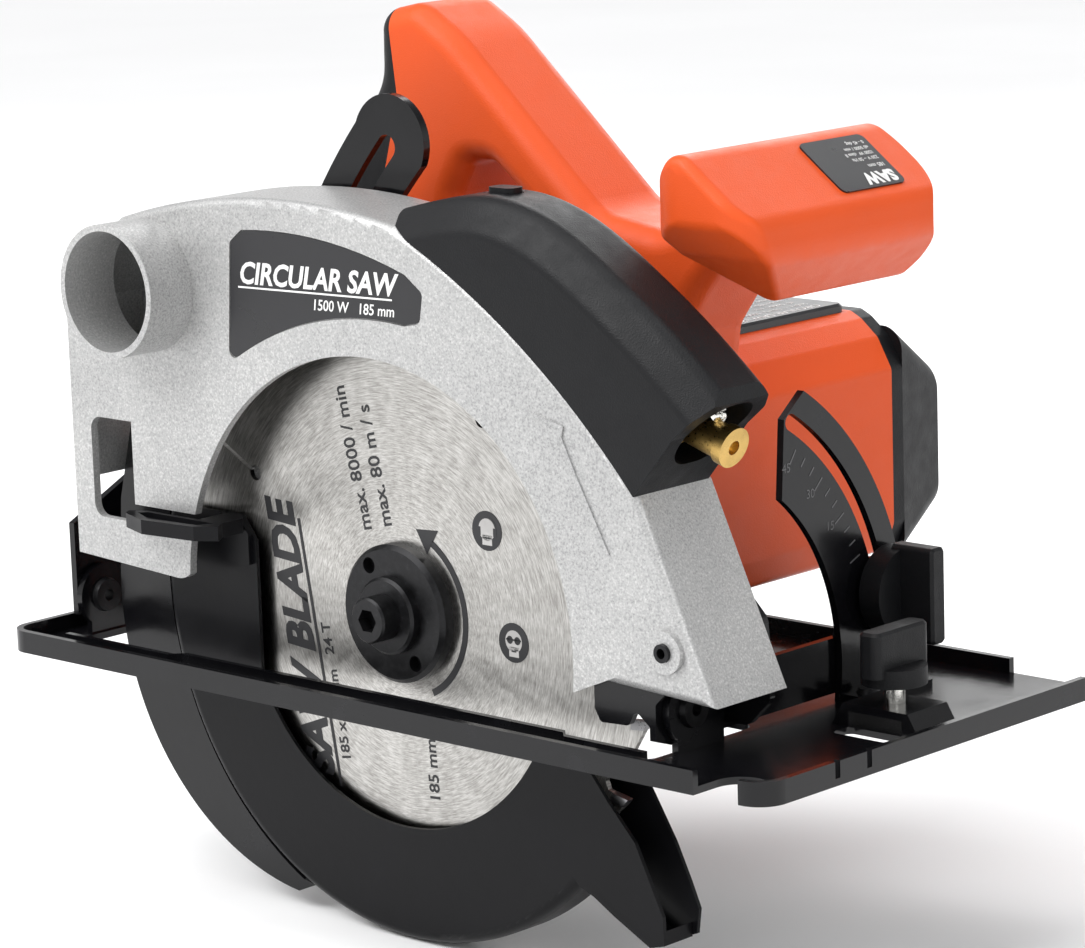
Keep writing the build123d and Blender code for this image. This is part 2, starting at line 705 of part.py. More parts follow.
with BuildPart() as carbide_tips:
    with BuildSketch(side(1.2)):
        for index in range(TOOTH_COUNT):
            face = 4 + index * TOOTH_STEP
            with BuildLine():
                Polyline(
                    on_blade(BLADE_R, face - 0.1),
                    on_blade(91.7, face - 1.9),
                    on_blade(87.2, face - 2.8),
                    on_blade(87.2, face - 1.0),
                    close=True,
                )
            make_face()
    extrude(amount=2.4)
save(carbide_tips, "carbide_tips")

SPINDLE_R = 6.0
with BuildPart() as inner_flange:
    barrel(17, 0, SPINDLE_Z, BLADE_HALF, 5.2)
    barrel(9.95, 0, SPINDLE_Z, -BLADE_HALF, BLADE_HALF)
    bore(SPINDLE_R, 0, SPINDLE_Z, -2, 6)
save(inner_flange, "inner_flange")

with BuildPart() as outer_flange:
    barrel(FLANGE_R, 0, SPINDLE_Z, -5.2, -BLADE_HALF)
    chamfer(outer_flange.faces().sort_by(Axis.Y)[0].edges(), 1.2)
    barrel(11, 0, SPINDLE_Z, -8.4, -5.2)
    chamfer(outer_flange.faces().sort_by(Axis.Y)[0].edges(), 0.8)
    bore(SPINDLE_R, 0, SPINDLE_Z, -4.6, 0)
    bore(4, 0, SPINDLE_Z, -9, 0)
    for angle in (-57, 123):
        x, z = on_blade(15.5, angle)
        bore(2.3, x, z, -6, -2.2)
save(outer_flange, "outer_flange")

with BuildPart() as blade_bolt:
    barrel(6.5, 0, SPINDLE_Z, -15, -8.4)
    chamfer(blade_bolt.faces().sort_by(Axis.Y)[0].edges(), 0.6)
    barrel(4, 0, SPINDLE_Z, -8.4, 12)
    with BuildSketch(side(-11)):
        with Locations((0, SPINDLE_Z)):
            RegularPolygon(3.5, 6)
    extrude(amount=5, mode=Mode.SUBTRACT)
save(blade_bolt, "blade_bolt")

GEAR_NEAR, GEAR_WIDE = 20.0, 9.0
LAY_NEAR, LAY_WIDE = 31.0, 7.0
with BuildPart() as spindle:
    barrel(SPINDLE_R, 0, SPINDLE_Z, -4.6, 15)
    barrel(7, 0, SPINDLE_Z, 15, 30)
    barrel(5, 0, SPINDLE_Z, 30, 36)
    bore(4, 0, SPINDLE_Z, -5, 12)
save(spindle, "spindle")

# centres of the three shafts, found from the gear sizes
FIRST = GEAR_MODULE * (MOTOR_TEETH + LAY_GEAR_TEETH) / 2
SECOND = GEAR_MODULE * (LAY_PINION_TEETH + SPINDLE_TEETH) / 2
reach = hypot(MOTOR_X, MOTOR_Z - SPINDLE_Z)
along = (SECOND**2 - FIRST**2 + reach**2) / (2 * reach)
off = sqrt(SECOND**2 - along**2)
ux, uz = MOTOR_X / reach, (MOTOR_Z - SPINDLE_Z) / reach
LAY_X, LAY_Z = along * ux - off * uz, SPINDLE_Z + along * uz + off * ux
ANGLE_SL = degrees(atan2(LAY_Z - SPINDLE_Z, LAY_X))
ANGLE_LM = degrees(atan2(MOTOR_Z - LAY_Z, MOTOR_X - LAY_X))

with BuildPart() as spindle_gear:
    with BuildSketch(side(GEAR_NEAR + GEAR_WIDE)):
        gear_teeth(SPINDLE_TEETH, ANGLE_SL, (0, SPINDLE_Z))
        with Locations((0, SPINDLE_Z)):
            Circle(7, mode=Mode.SUBTRACT)
    extrude(amount=GEAR_WIDE)
save(spindle_gear, "spindle_gear")

with BuildPart() as layshaft:
    with BuildSketch(side(GEAR_NEAR + GEAR_WIDE + 0.3)):
        gear_teeth(LAY_PINION_TEETH, ANGLE_SL + 180 + 180 / LAY_PINION_TEETH, (LAY_X, LAY_Z))
    extrude(amount=GEAR_WIDE + 0.3)
    barrel(3.5, LAY_X, LAY_Z, 16.4, 43.8)
    barrel(5, LAY_X, LAY_Z, GEAR_NEAR + GEAR_WIDE + 0.3, LAY_NEAR)
save(layshaft, "layshaft")

with BuildPart() as lay_gear:
    with BuildSketch(side(LAY_NEAR + LAY_WIDE)):
        gear_teeth(LAY_GEAR_TEETH, ANGLE_LM, (LAY_X, LAY_Z))
        with Locations((LAY_X, LAY_Z)):
            Circle(3.5, mode=Mode.SUBTRACT)
    extrude(amount=LAY_WIDE)
save(lay_gear, "lay_gear")

with BuildPart() as armature_shaft:
    with BuildSketch(side(LAY_NEAR + LAY_WIDE + 0.3)):
        gear_teeth(MOTOR_TEETH, ANGLE_LM + 180 + 180 / MOTOR_TEETH, (MOTOR_X, MOTOR_Z))
    extrude(amount=LAY_WIDE + 0.3)
    barrel(4, MOTOR_X, MOTOR_Z, LAY_NEAR + LAY_WIDE + 0.3, 165)
save(armature_shaft, "armature_shaft")

# ================================================================ gear case
NOSE_R = 22.4
CASE_NEAR, CASE_FAR, PLATE_FAR = GUARD_FAR, 40.0, MOTOR_NEAR


def case_outline(grow):
    """Pear-shaped outline round the spindle and the motor axis."""
    with BuildLine() as outline:
        CenterArc((0, SPINDLE_Z), NOSE_R + grow, 0, 360)
        CenterArc((MOTOR_X, MOTOR_Z), 27 + grow, 0, 360)
    make_hull(outline.edges())


with BuildPart() as gear_housing:
    with BuildSketch(side(CASE_FAR)):
        case_outline(0)
    extrude(amount=CASE_FAR - CASE_NEAR)
    bore(19.9, 0, SPINDLE_Z, 18.5, CASE_FAR + 1)
    bore(9.0, 0, SPINDLE_Z, CASE_NEAR - 1, 19)
    bore(8.9, LAY_X, LAY_Z, 19.7, CASE_FAR + 1)
    bore(12.0, LAY_X, LAY_Z, 30.4, CASE_FAR + 1)
    bore(6.0, LAY_X, LAY_Z, 16.2, 21)
    bore(9.0, MOTOR_X, MOTOR_Z, 29, CASE_FAR + 1)
    # passage for the spindle lock
    with BuildSketch(front(15)):
        with Locations((24.5, SPINDLE_Z - 6)):
            Circle(2.1)
    extrude(amount=20, mode=Mode.SUBTRACT)
save(gear_housing, "gear_housing")

with BuildPart() as bearing_plate:
    with BuildSketch(side(PLATE_FAR)):
        case_outline(0)
    extrude(amount=PLATE_FAR - CASE_FAR)
    barrel(14.5, MOTOR_X, MOTOR_Z, PLATE_FAR, 49)
    # carrier that reaches into the case for the spindle's rear bearing
    barrel(15.5, 0, SPINDLE_Z, 30.2, CASE_FAR)
    bore(13, 0, SPINDLE_Z, 29, 36.4)
    bore(11.6, LAY_X, LAY_Z, 29, CASE_FAR)
    bore(6, LAY_X, LAY_Z, CASE_FAR - 1, 44.2)
    bore(11, MOTOR_X, MOTOR_Z, 41.5, 50)
    bore(7, MOTOR_X, MOTOR_Z, 39, 42)
save(bearing_plate, "bearing_plate")

with BuildPart() as bearings:
    # spindle front and rear, layshaft bushes, motor front and rear
    seats = (
        (0, SPINDLE_Z, SPINDLE_R, BEARING_R, 6.4, 14.4),
        (0, SPINDLE_Z, 5, 13, 30.3, 36.3),
        (LAY_X, LAY_Z, 3.5 + RUN, 6, 16.3, 19.6),
        (LAY_X, LAY_Z, 3.5 + RUN, 6, 40.3, 44.1),
        (MOTOR_X, MOTOR_Z, 4 + RUN, 11, 41.6, 48.6),
        (MOTOR_X, MOTOR_Z, 4 + RUN, 9.5, 157, 163),
    )
    for x, z, inside_r, outside_r, y_near, y_far in seats:
        barrel(outside_r, x, z, y_near, y_far)
        bore(max(inside_r, 3.5) + (RUN if inside_r >= 5 else 0), x, z, y_near - 0.1, y_far + 0.1)
save(bearings, "bearings")

# ================================================================ motor
with BuildPart() as armature_core:
    with BuildSketch(side(116)):
        with Locations((MOTOR_X, MOTOR_Z)):
            Circle(20)
            Circle(4, mode=Mode.SUBTRACT)
            with PolarLocations(15, 12):
                Rectangle(7, 3, mode=Mode.SUBTRACT)
            with PolarLocations(19.5, 12):
                Rectangle(3, 1.2, mode=Mode.SUBTRACT)
    extrude(amount=40)
save(armature_core, "armature_core")

with BuildPart() as windings:
    with BuildSketch(side(116)):
        with Locations((MOTOR_X, MOTOR_Z)):
            with PolarLocations(15, 12):
                Rectangle(6.4, 2.4)
    extrude(amount=40)
    for y_near in (68, 116):
        barrel(18.2, MOTOR_X, MOTOR_Z, y_near, y_near + 8)
        bore(7, MOTOR_X, MOTOR_Z, y_near - 1, y_near + 9)
save(windings, "windings")

with BuildPart() as commutator:
    barrel(11, MOTOR_X, MOTOR_Z, 127, 142)
    bore(4, MOTOR_X, MOTOR_Z, 126, 143)
    with BuildSketch(side(143)):
        with Locations((MOTOR_X, MOTOR_Z)):
            with PolarLocations(11, 16):
                Rectangle(2, 0.7)
    extrude(amount=16, mode=Mode.SUBTRACT)
save(commutator, "commutator")

with BuildPart() as cooling_fan:
    barrel(9, MOTOR_X, MOTOR_Z, 52, 62)
    barrel(26, MOTOR_X, MOTOR_Z, 52, 53.6)
    with BuildSketch(side(62)):
        with Locations((MOTOR_X, MOTOR_Z)):
            with PolarLocations(17, 11):
                Rectangle(17, 1.6, rotation=24)
    extrude(amount=8.6)
    bore(4, MOTOR_X, MOTOR_Z, 51, 63)
save(cooling_fan, "cooling_fan")

with BuildPart() as stator:
    with BuildSketch(side(116)):
        with Locations((MOTOR_X, MOTOR_Z)):
            RectangleRounded(66, 60, 16)
            Circle(20.6, mode=Mode.SUBTRACT)
            Rectangle(48, 26, mode=Mode.SUBTRACT)
    extrude(amount=40)
save(stator, "stator")

with BuildPart() as brush_holders:
    for way in (-1, 1):
        with Locations((MOTOR_X, 134.5, MOTOR_Z + way * 19)):
            Box(9, 11, 14)
            Box(6.2, 8.2, 20, mode=Mode.SUBTRACT)
save(brush_holders, "brush_holders")

with BuildPart() as carbon_brushes:
    for way in (-1, 1):
        with Locations((MOTOR_X, 134.5, MOTOR_Z + way * 17.2)):
            Box(6, 8, 12)
save(carbon_brushes, "carbon_brushes")


def motor_outline():
    """Cross-section of the motor moulding: flat front, domed top, rounded back."""
    with BuildLine() as outline:
        Polyline(
            (-20, 40), (-16, 29), (-6, 20.5), (48, 20.5), (57, 24), (60, 32), (60, 78),
            (55, 87), (49, 92), (45, 94), (4, 94), (-9, 88), (-18, 78), (-20, 72), close=True,
        )
    make_face(outline.edges())


with BuildPart() as motor_housing:
    with BuildSketch(side(MOTOR_JOINT)):
        motor_outline()
    extrude(amount=MOTOR_JOINT - MOTOR_NEAR)
    upright = motor_housing.edges().filter_by(Axis.Y)
    fillet(upright, radius=3.5)
    with BuildSketch(side(MOTOR_JOINT + 1)):
        motor_outline()
        offset(amount=-3, kind=Kind.INTERSECTION)
    extrude(amount=MOTOR_JOINT - MOTOR_NEAR - 2, mode=Mode.SUBTRACT)
    # mouth for the bearing carrier, in the near wall
    bore(14.6, MOTOR_X, MOTOR_Z, MOTOR_NEAR - 1, MOTOR_NEAR + 6)
    # cooling slots in the back and the underside
    for index in range(6):
        with BuildSketch(side(MOTOR_JOINT)):
            with Locations((-20, 36 + index * 7.5)):
                Rectangle(14, 3)
        extrude(amount=22, mode=Mode.SUBTRACT)
    with BuildSketch(Plane.XY.offset(18)):
        for index in range(5):
            with Locations((2 + index * 9, 62)):
                RectangleRounded(4, 20, 1.5)
    extrude(amount=8, mode=Mode.SUBTRACT)
save(motor_housing, "motor_housing")


with BuildPart() as motor_end_cap:
    with BuildSketch(side(MOTOR_JOINT + 5)):
        motor_outline()
    extrude(amount=5)
    fillet(motor_end_cap.edges().filter_by(Axis.Y), radius=3.5)
    with BuildSketch(side(MOTOR_JOINT + 5)):
        with Locations((MOTOR_X, 55)):
            RectangleRounded(80, 69, 7)
    with BuildSketch(side(MOTOR_FAR)):
        with Locations((MOTOR_X, 53)):
            RectangleRounded(70, 46, 9)
    loft()
    with BuildSketch(side(MOTOR_JOINT + 5)):
        with Locations((MOTOR_X, 55)):
            RectangleRounded(73, 61, 6)
    with BuildSketch(side(MOTOR_FAR - 3)):
        with Locations((MOTOR_X, 53)):
            RectangleRounded(64, 41, 6)
    loft(mode=Mode.SUBTRACT)
    with BuildSketch(side(MOTOR_JOINT + 6)):
        motor_outline()
        offset(amount=-3.5, kind=Kind.INTERSECTION)
    extrude(amount=7, mode=Mode.SUBTRACT)
    # bearing seat
    barrel(12.5, MOTOR_X, MOTOR_Z, 156, MOTOR_FAR - 2)
    bore(9.5, MOTOR_X, MOTOR_Z, 155, 163.2)
    bore(6, MOTOR_X, MOTOR_Z, 155, 167)
    # air slots across the end face
    with BuildSketch(side(MOTOR_FAR + 1)):
        for row in range(5):
            for way in (-1, 1):
                with Locations((MOTOR_X + way * 24, 37 + row * 8)):
                    SlotOverall(15, 3.2)
    extrude(amount=8, mode=Mode.SUBTRACT)
    for x in (MOTOR_X - 31, MOTOR_X + 31):
        with BuildSketch(side(MOTOR_JOINT + 12)):
            with Locations((x, 55)):
                Circle(2)
        extrude(amount=9, mode=Mode.SUBTRACT)
save(motor_end_cap, "motor_end_cap")

with BuildPart() as motor_label:
    with BuildSketch(Plane.XY.offset(94)):
        with Locations((25, 111)):
            RectangleRounded(40, 62, 3)
    extrude(amount=2.6)
    chamfer(motor_label.faces().sort_by(Axis.Z)[-1].edges(), 0.8)
save(motor_label, "motor_label")

# ================================================================ handle
BAR = degrees(atan2(-0.607, 0.795))


HANDLE_FAR = HANDLE_Y + HANDLE_HALF + 2
HANDLE_NEAR = HANDLE_Y - HANDLE_HALF - 2
LOCK_X, LOCK_Z = -4.0, 156.5
HANDLE_CORNERS = (
    (-31.0, 190.0, 10), (-17.0, 181.6, 50), (36.0, 134.0, 16), (58.0, 130.5, 12),
    (77.8, 135.2, 0), (84.0, 127.2, 3), (74.0, 115.5, 8), (63.5, 101.0, 8), (60.4, 80.0, 0),
    (55.2, 87.3, 0), (49.1, 92.3, 0), (45.1, 94.2, 0), (4.0, 94.2, 0), (-9.2, 88.2, 0),
    (-18.2, 78.2, 0), (-20.3, 72.0, 0), (-20.3, 62.0, 0), (-38.0, 82.0, 12), (-54.0, 97.0, 8),
    (-60.0, 109.0, 8), (-62.0, 128.0, 12), (-63.0, 148.0, 6), (-52.5, 159.0, 10),
    (-47.0, 168.0, 14), (-46.5, 187.0, 7),
)
LOOP_CORNERS = (
    (-18.5, 136.0, 4), (-13.0, 146.0, 5), (-4.0, 146.0, 6), (51.0, 101.5, 6),
    (-10.0, 101.5, 8), (-22.0, 115.0, 8),
)


def rounded_polygon(corners):
    """Closed outline with its own corner radius at every point."""
    with BuildSketch() as blank:
        with BuildLine():
            Polyline(*[(u, v) for u, v, _ in corners], close=True)
        make_face()
        for u, v, radius in corners:
            if radius > 0:
                corner = blank.vertices().sort_by_distance(Vector(u, v, 0))[0]
                fillet(corner, radius=radius)
    return blank.sketch


HANDLE_PROFILE = rounded_polygon(HANDLE_CORNERS)
LOOP_PROFILE = rounded_polygon(LOOP_CORNERS)


def cover_region():
    """Everything behind the joint between the handle shells and the rear cover."""
    with BuildLine() as outline:
        Polyline(
            (-42.3, 195.0), (-38.5, 163.0), (-41.0, 153.5), (-46.5, 135.0), (-52.5, 112.0),
            (-49.0, 80.0), (-90.0, 80.0), (-90.0, 195.0), close=True,
        )
    make_face(outline.edges())


# whole handle, before it is divided into two shells and a cover
with BuildPart() as handle_block:
    with BuildSketch(side(HANDLE_FAR)):
        add(HANDLE_PROFILE)
        add(LOOP_PROFILE, mode=Mode.SUBTRACT)
    extrude(amount=HANDLE_FAR - HANDLE_NEAR)
    block_sides = handle_block.faces().sort_by(Axis.Y)
    for block_side in (block_sides[0], block_sides[-1]):
        rim = block_side.edges().filter_by(
            lambda e: e.center().Z > 99
            and not (e.center().X > 80 and e.center().Z > 125)
        )
        fillet(rim, 6.5)


def handle_hollow():
    """Chambers inside the handle: one along the bar, one down the rear leg, one in the neck."""
    with BuildLine() as bar:
        Polyline(
            (-34.0, 181.5), (-20.0, 174.5), (3.5, 157.0), (24.0, 138.5), (45.0, 126.0),
            (59.0, 124.0), (72.0, 128.0), (77.0, 124.5), (69.5, 115.5), (59.0, 101.5),
            (57.0, 92.5), (52.5, 94.0), (47.5, 99.0), (51.0, 107.0), (32.0, 124.5), (-1.5, 149.5),
            (-9.0, 151.5), (-19.0, 147.5), (-24.0, 135.5), (-25.5, 117.0), (-18.0, 103.0),
            (-4.0, 98.0), (-13.0, 91.0), (-24.0, 75.0), (-39.0, 94.0), (-47.5, 113.0),
            (-42.0, 135.0), (-37.0, 153.5), (-35.0, 163.0), close=True,
        )
    make_face(bar.edges())


TRIGGER_AT = (17.0, 131.5)
HANDLE_SCREWS = ((-30, 168), (-34, 100), (61, 113), (34, 132))


for near_half in (True, False):
    y_high = HANDLE_Y if near_half else HANDLE_FAR
    with BuildPart() as shell:
        add(handle_block.part)
        with BuildSketch(side(y_high)):
            Rectangle(400, 600)
        extrude(amount=HANDLE_HALF + 2, mode=Mode.INTERSECT)
        with BuildSketch(side(HANDLE_FAR + 1)):
            cover_region()
        extrude(amount=HANDLE_FAR - HANDLE_NEAR + 2, mode=Mode.SUBTRACT)
        # hollow for the switch and the wires
        with BuildSketch(side(HANDLE_Y if near_half else HANDLE_Y + HANDLE_HALF - 3)):
            handle_hollow()
        extrude(amount=HANDLE_HALF - 3, mode=Mode.SUBTRACT)
        with BuildSketch(side(HANDLE_Y + 8.3)):
            with Locations(TRIGGER_AT):
                Rectangle(29, 22, rotation=BAR)
        extrude(amount=16.6, mode=Mode.SUBTRACT)
        if not near_half:
            bore(4.05, LOCK_X, LOCK_Z, HANDLE_Y, HANDLE_FAR + 3)
            for x, z in HANDLE_SCREWS:
                bore(3.2, x, z, HANDLE_FAR - 1.4, HANDLE_FAR + 3)
    save(shell, "handle_near" if near_half else "handle_far")

ENTRY_X, ENTRY_Z = -64.0, 138.0
GLAND_PROUD, CORD_R = 3.0, 3.75
with BuildPart() as handle_rear_cover:
    add(handle_block.part)
    with BuildSketch(side(HANDLE_FAR + 1)):
        cover_region()
    extrude(amount=HANDLE_FAR - HANDLE_NEAR + 2, mode=Mode.INTERSECT)
    # hollow behind the joint
    with BuildSketch(side(HANDLE_Y + HANDLE_HALF - 3)):
        with BuildLine():
            Polyline(
                (-38.0, 163.0), (-42.5, 163.0), (-47.5, 157.5), (-58.0, 146.5), (-58.0, 129.0),
                (-56.0, 117.0), (-50.5, 114.0), (-42.5, 135.0), (-36.0, 153.5), (-34.0, 163.0), close=True,
            )
        make_face()
    extrude(amount=2 * (HANDLE_HALF - 3), mode=Mode.SUBTRACT)
    # cable entry, straight back
    with BuildSketch(front(ENTRY_X)):
        with Locations((HANDLE_Y, ENTRY_Z)):
            Circle(9)
    extrude(amount=4)
    with BuildSketch(front(ENTRY_X - 1)):
        with Locations((HANDLE_Y, ENTRY_Z)):
            Circle(6.5)
    extrude(amount=10, mode=Mode.SUBTRACT)
save(handle_rear_cover, "handle_rear_cover")

with BuildPart() as cord_gland:
    with BuildSketch(front(ENTRY_X - GLAND_PROUD)):
        with Locations((HANDLE_Y, ENTRY_Z)):
            Circle(8)
    extrude(amount=GLAND_PROUD)
    chamfer(cord_gland.faces().sort_by(Axis.X)[0].edges(), 1)
    with BuildSketch(front(ENTRY_X)):
        with Locations((HANDLE_Y, ENTRY_Z)):
            Circle(6.5)
    extrude(amount=9)
    with BuildSketch(front(ENTRY_X - GLAND_PROUD - 1)):
        with Locations((HANDLE_Y, ENTRY_Z)):
            Circle(CORD_R)
    extrude(amount=20, mode=Mode.SUBTRACT)
save(cord_gland, "cord_gland")

with BuildPart() as body_screws:
    for x, z in HANDLE_SCREWS:
        barrel(3.2, x, z, HANDLE_FAR - 1.4, HANDLE_FAR - 0.2)
        with BuildSketch(side(HANDLE_FAR + 0.5)):
            with Locations((x, z)):
                Rectangle(4, 0.9)
                Rectangle(0.9, 4)
        extrude(amount=1.5, mode=Mode.SUBTRACT)
save(body_screws, "body_screws")

BAR_PLANE = Plane(
    origin=(TRIGGER_AT[0], HANDLE_Y, TRIGGER_AT[1]),
    x_dir=(cos(radians(BAR)), 0, sin(radians(BAR))),
    z_dir=(0, -1, 0),
)
with BuildPart() as switch_unit:
    with BuildSketch(BAR_PLANE.offset(-4)):
        with Locations((-22.5, 6.8)):
            Rectangle(16.4, 5.6)
    extrude(amount=11.5)
    with BuildSketch(BAR_PLANE.offset(-2)):
        with Locations((-32, 6.8)):
            Rectangle(3, 4)
    extrude(amount=4)
save(switch_unit, "switch_unit")

TRIGGER_HALF = 8.0
with BuildPart() as trigger:
    with BuildSketch(BAR_PLANE.offset(-TRIGGER_HALF)):
        with BuildLine():
            Polyline(
                (-13.5, 3.5), (-13.5, -7.0), (-9.0, -15.5), (-2.0, -17.0), (7.0, -14.0),
                (13.5, -8.5), (13.5, 3.5), close=True,
            )
        pad = make_face()
        fillet(pad.vertices().filter_by(lambda v: v.Y < -5), radius=2)
    extrude(amount=2 * TRIGGER_HALF)
    fillet(trigger.faces().sort_by(Axis.Y)[0].edges().filter_by(lambda e: e.center().Z < 122), 1.2)
    fillet(trigger.faces().sort_by(Axis.Y)[-1].edges().filter_by(lambda e: e.center().Z < 122), 1.2)
save(trigger, "trigger")

with BuildPart() as lock_off_button:
    barrel(4, LOCK_X, LOCK_Z, HANDLE_Y + 9, HANDLE_FAR + 4)
    chamfer(lock_off_button.faces().sort_by(Axis.Y)[-1].edges(), 0.8)
    barrel(4.7, LOCK_X, LOCK_Z, HANDLE_Y + 9, HANDLE_Y + 10.6)
save(lock_off_button, "lock_off_button")

# ================================================================ front grip
GRIP_SPLIT = 62.0
GRIP_CORNERS = (
    (88.0, 158.2, 7.0), (113.2, 139.2, 8.0), (115.0, 129.5, 8.0), (96.0, 112.0, 5.0),
    (76.8, 136.8, 10.0), (78.5, 149.5, 10.0),
)
GRIP_SIDE = (
    (GRIP_FAR, 162.0, 13.0), (GRIP_FAR, 108.0, 13.0), (57.0, 108.0, 12.0), (25.0, 129.0, 8.0),
    (GRIP_NEAR, 138.0, 5.0), (GRIP_NEAR, 162.0, 11.0),
)


GRIP_SECTION = rounded_polygon(GRIP_CORNERS)
GRIP_ELEVATION = rounded_polygon(GRIP_SIDE)

for near_half in (True, False):
    y_high = GRIP_SPLIT if near_half else GRIP_FAR
    width = GRIP_SPLIT - GRIP_NEAR if near_half else GRIP_FAR - GRIP_SPLIT
    with BuildPart() as grip:
        with BuildSketch(side(y_high)):
            add(GRIP_SECTION)
        extrude(amount=width)
        # rounded ends, first as seen from the front and then from above
        with BuildSketch(front(60)):
            add(GRIP_ELEVATION)
        extrude(amount=70, mode=Mode.INTERSECT)
        with BuildSketch(Plane.XY.offset(100)):
            with Locations((96, (GRIP_NEAR + GRIP_FAR) / 2)):
                RectangleRounded(40.5, GRIP_FAR - GRIP_NEAR, 14)
        extrude(amount=70, mode=Mode.INTERSECT)
        if near_half:
            outer_edges = grip.edges().filter_by(
                lambda e: abs(e.center().Y - GRIP_SPLIT) > 0.05 and e.length > 0.5
            )
            fillet(outer_edges, 3)
    save(grip, "front_grip_near" if near_half else "front_grip_far")

# ================================================================ laser unit
BEAM_TILT = 18.0
with BuildPart() as laser_housing:
    with BuildSketch(side(GUARD_FAR - 1)):
        with BuildLine():
            saddle = ThreePointArc(TOP_ARC[2], SHOULDER, LASER_FOOT)
            hood = Spline(
                (14.5, 140.6), (28.9, 144.0), (44.7, 146.0), (69.9, 140.3), (89.3, 129.2),
                (108.2, 116.0), (125.8, 101.5),
            )
            Line(saddle @ 0, hood @ 0)
            Polyline(hood @ 1, (126.5, 97.5), (115.5, 88.4), saddle @ 1)
        make_face()
    extrude(amount=GUARD_FAR - 1 - GUARD_NEAR + 1)
    ridge = laser_housing.edges().filter_by(lambda e: e.length > 60 and e.center().Z > 115)
    ridge = ridge.filter_by(lambda e: e.center().Z > 120)
    chamfer(ridge, 6, 9)
    brow = laser_housing.edges().filter_by(lambda e: e.length > 60 and e.center().Z > 112)
    fillet(brow, radius=5)
    # hollow that opens forward, for the laser barrel
    beam = Plane(
        origin=(124, -0.5, 84.5),
        x_dir=(0, 1, 0),
        z_dir=(cos(radians(BEAM_TILT)), 0, -sin(radians(BEAM_TILT))),
    )
    with BuildSketch(beam):
        with Locations((0, 1)):
            RectangleRounded(21, 22, 9)
    extrude(amount=-30, mode=Mode.SUBTRACT)
    with BuildSketch(Plane.XY.offset(141.5)):
        with Locations((44.5, 0)):
            RectangleRounded(9.6, 6.6, 2.2)
    extrude(amount=10, mode=Mode.SUBTRACT)
save(laser_housing, "laser_housing")

with BuildPart() as laser_module:
    with BuildSketch(beam.offset(-29)):
        Circle(7)
    extrude(amount=10)
    with BuildSketch(beam.offset(-19)):
        Circle(4.8)
    extrude(amount=15)
    with BuildSketch(beam.offset(-4)):
        Circle(5.6)
    extrude(amount=3)
    with BuildSketch(beam):
        Circle(2)
    extrude(amount=-3, mode=Mode.SUBTRACT)
save(laser_module, "laser_module")

with BuildPart() as laser_switch:
    with BuildSketch(Plane.XY.offset(143.8)):
        with Locations((44.5, 0)):
            RectangleRounded(9, 6, 2)
    extrude(amount=3.6)
save(laser_switch, "laser_switch")

# ================================================================ lower guard
SWING_IN, SWING_OUT = 61.5, 94.7
LEG_START, LEG_END = -25.0, -44.8
TOP_ANGLE = 167.2
SHOULDER_R = 3.2
HUB_AXIS = Axis((0, 0, SPINDLE_Z), (0, 1, 0))
NEAR_LEG = ((72.6, -9.1), (78.7, -16.3), (88.0, -26.0), (97.3, -45.0), (97.5, -53.0), (92.4, -54.4),
            (79.8, -48.0), (72.5, -43.8))
FAR_LEG = ((83.3, -13.6), (91.9, -27.5), (97.0, -38.0), (100.0, -45.0), (99.0, -52.0),
           (92.4, -54.4), (79.8, -48.0), (72.5, -43.8))

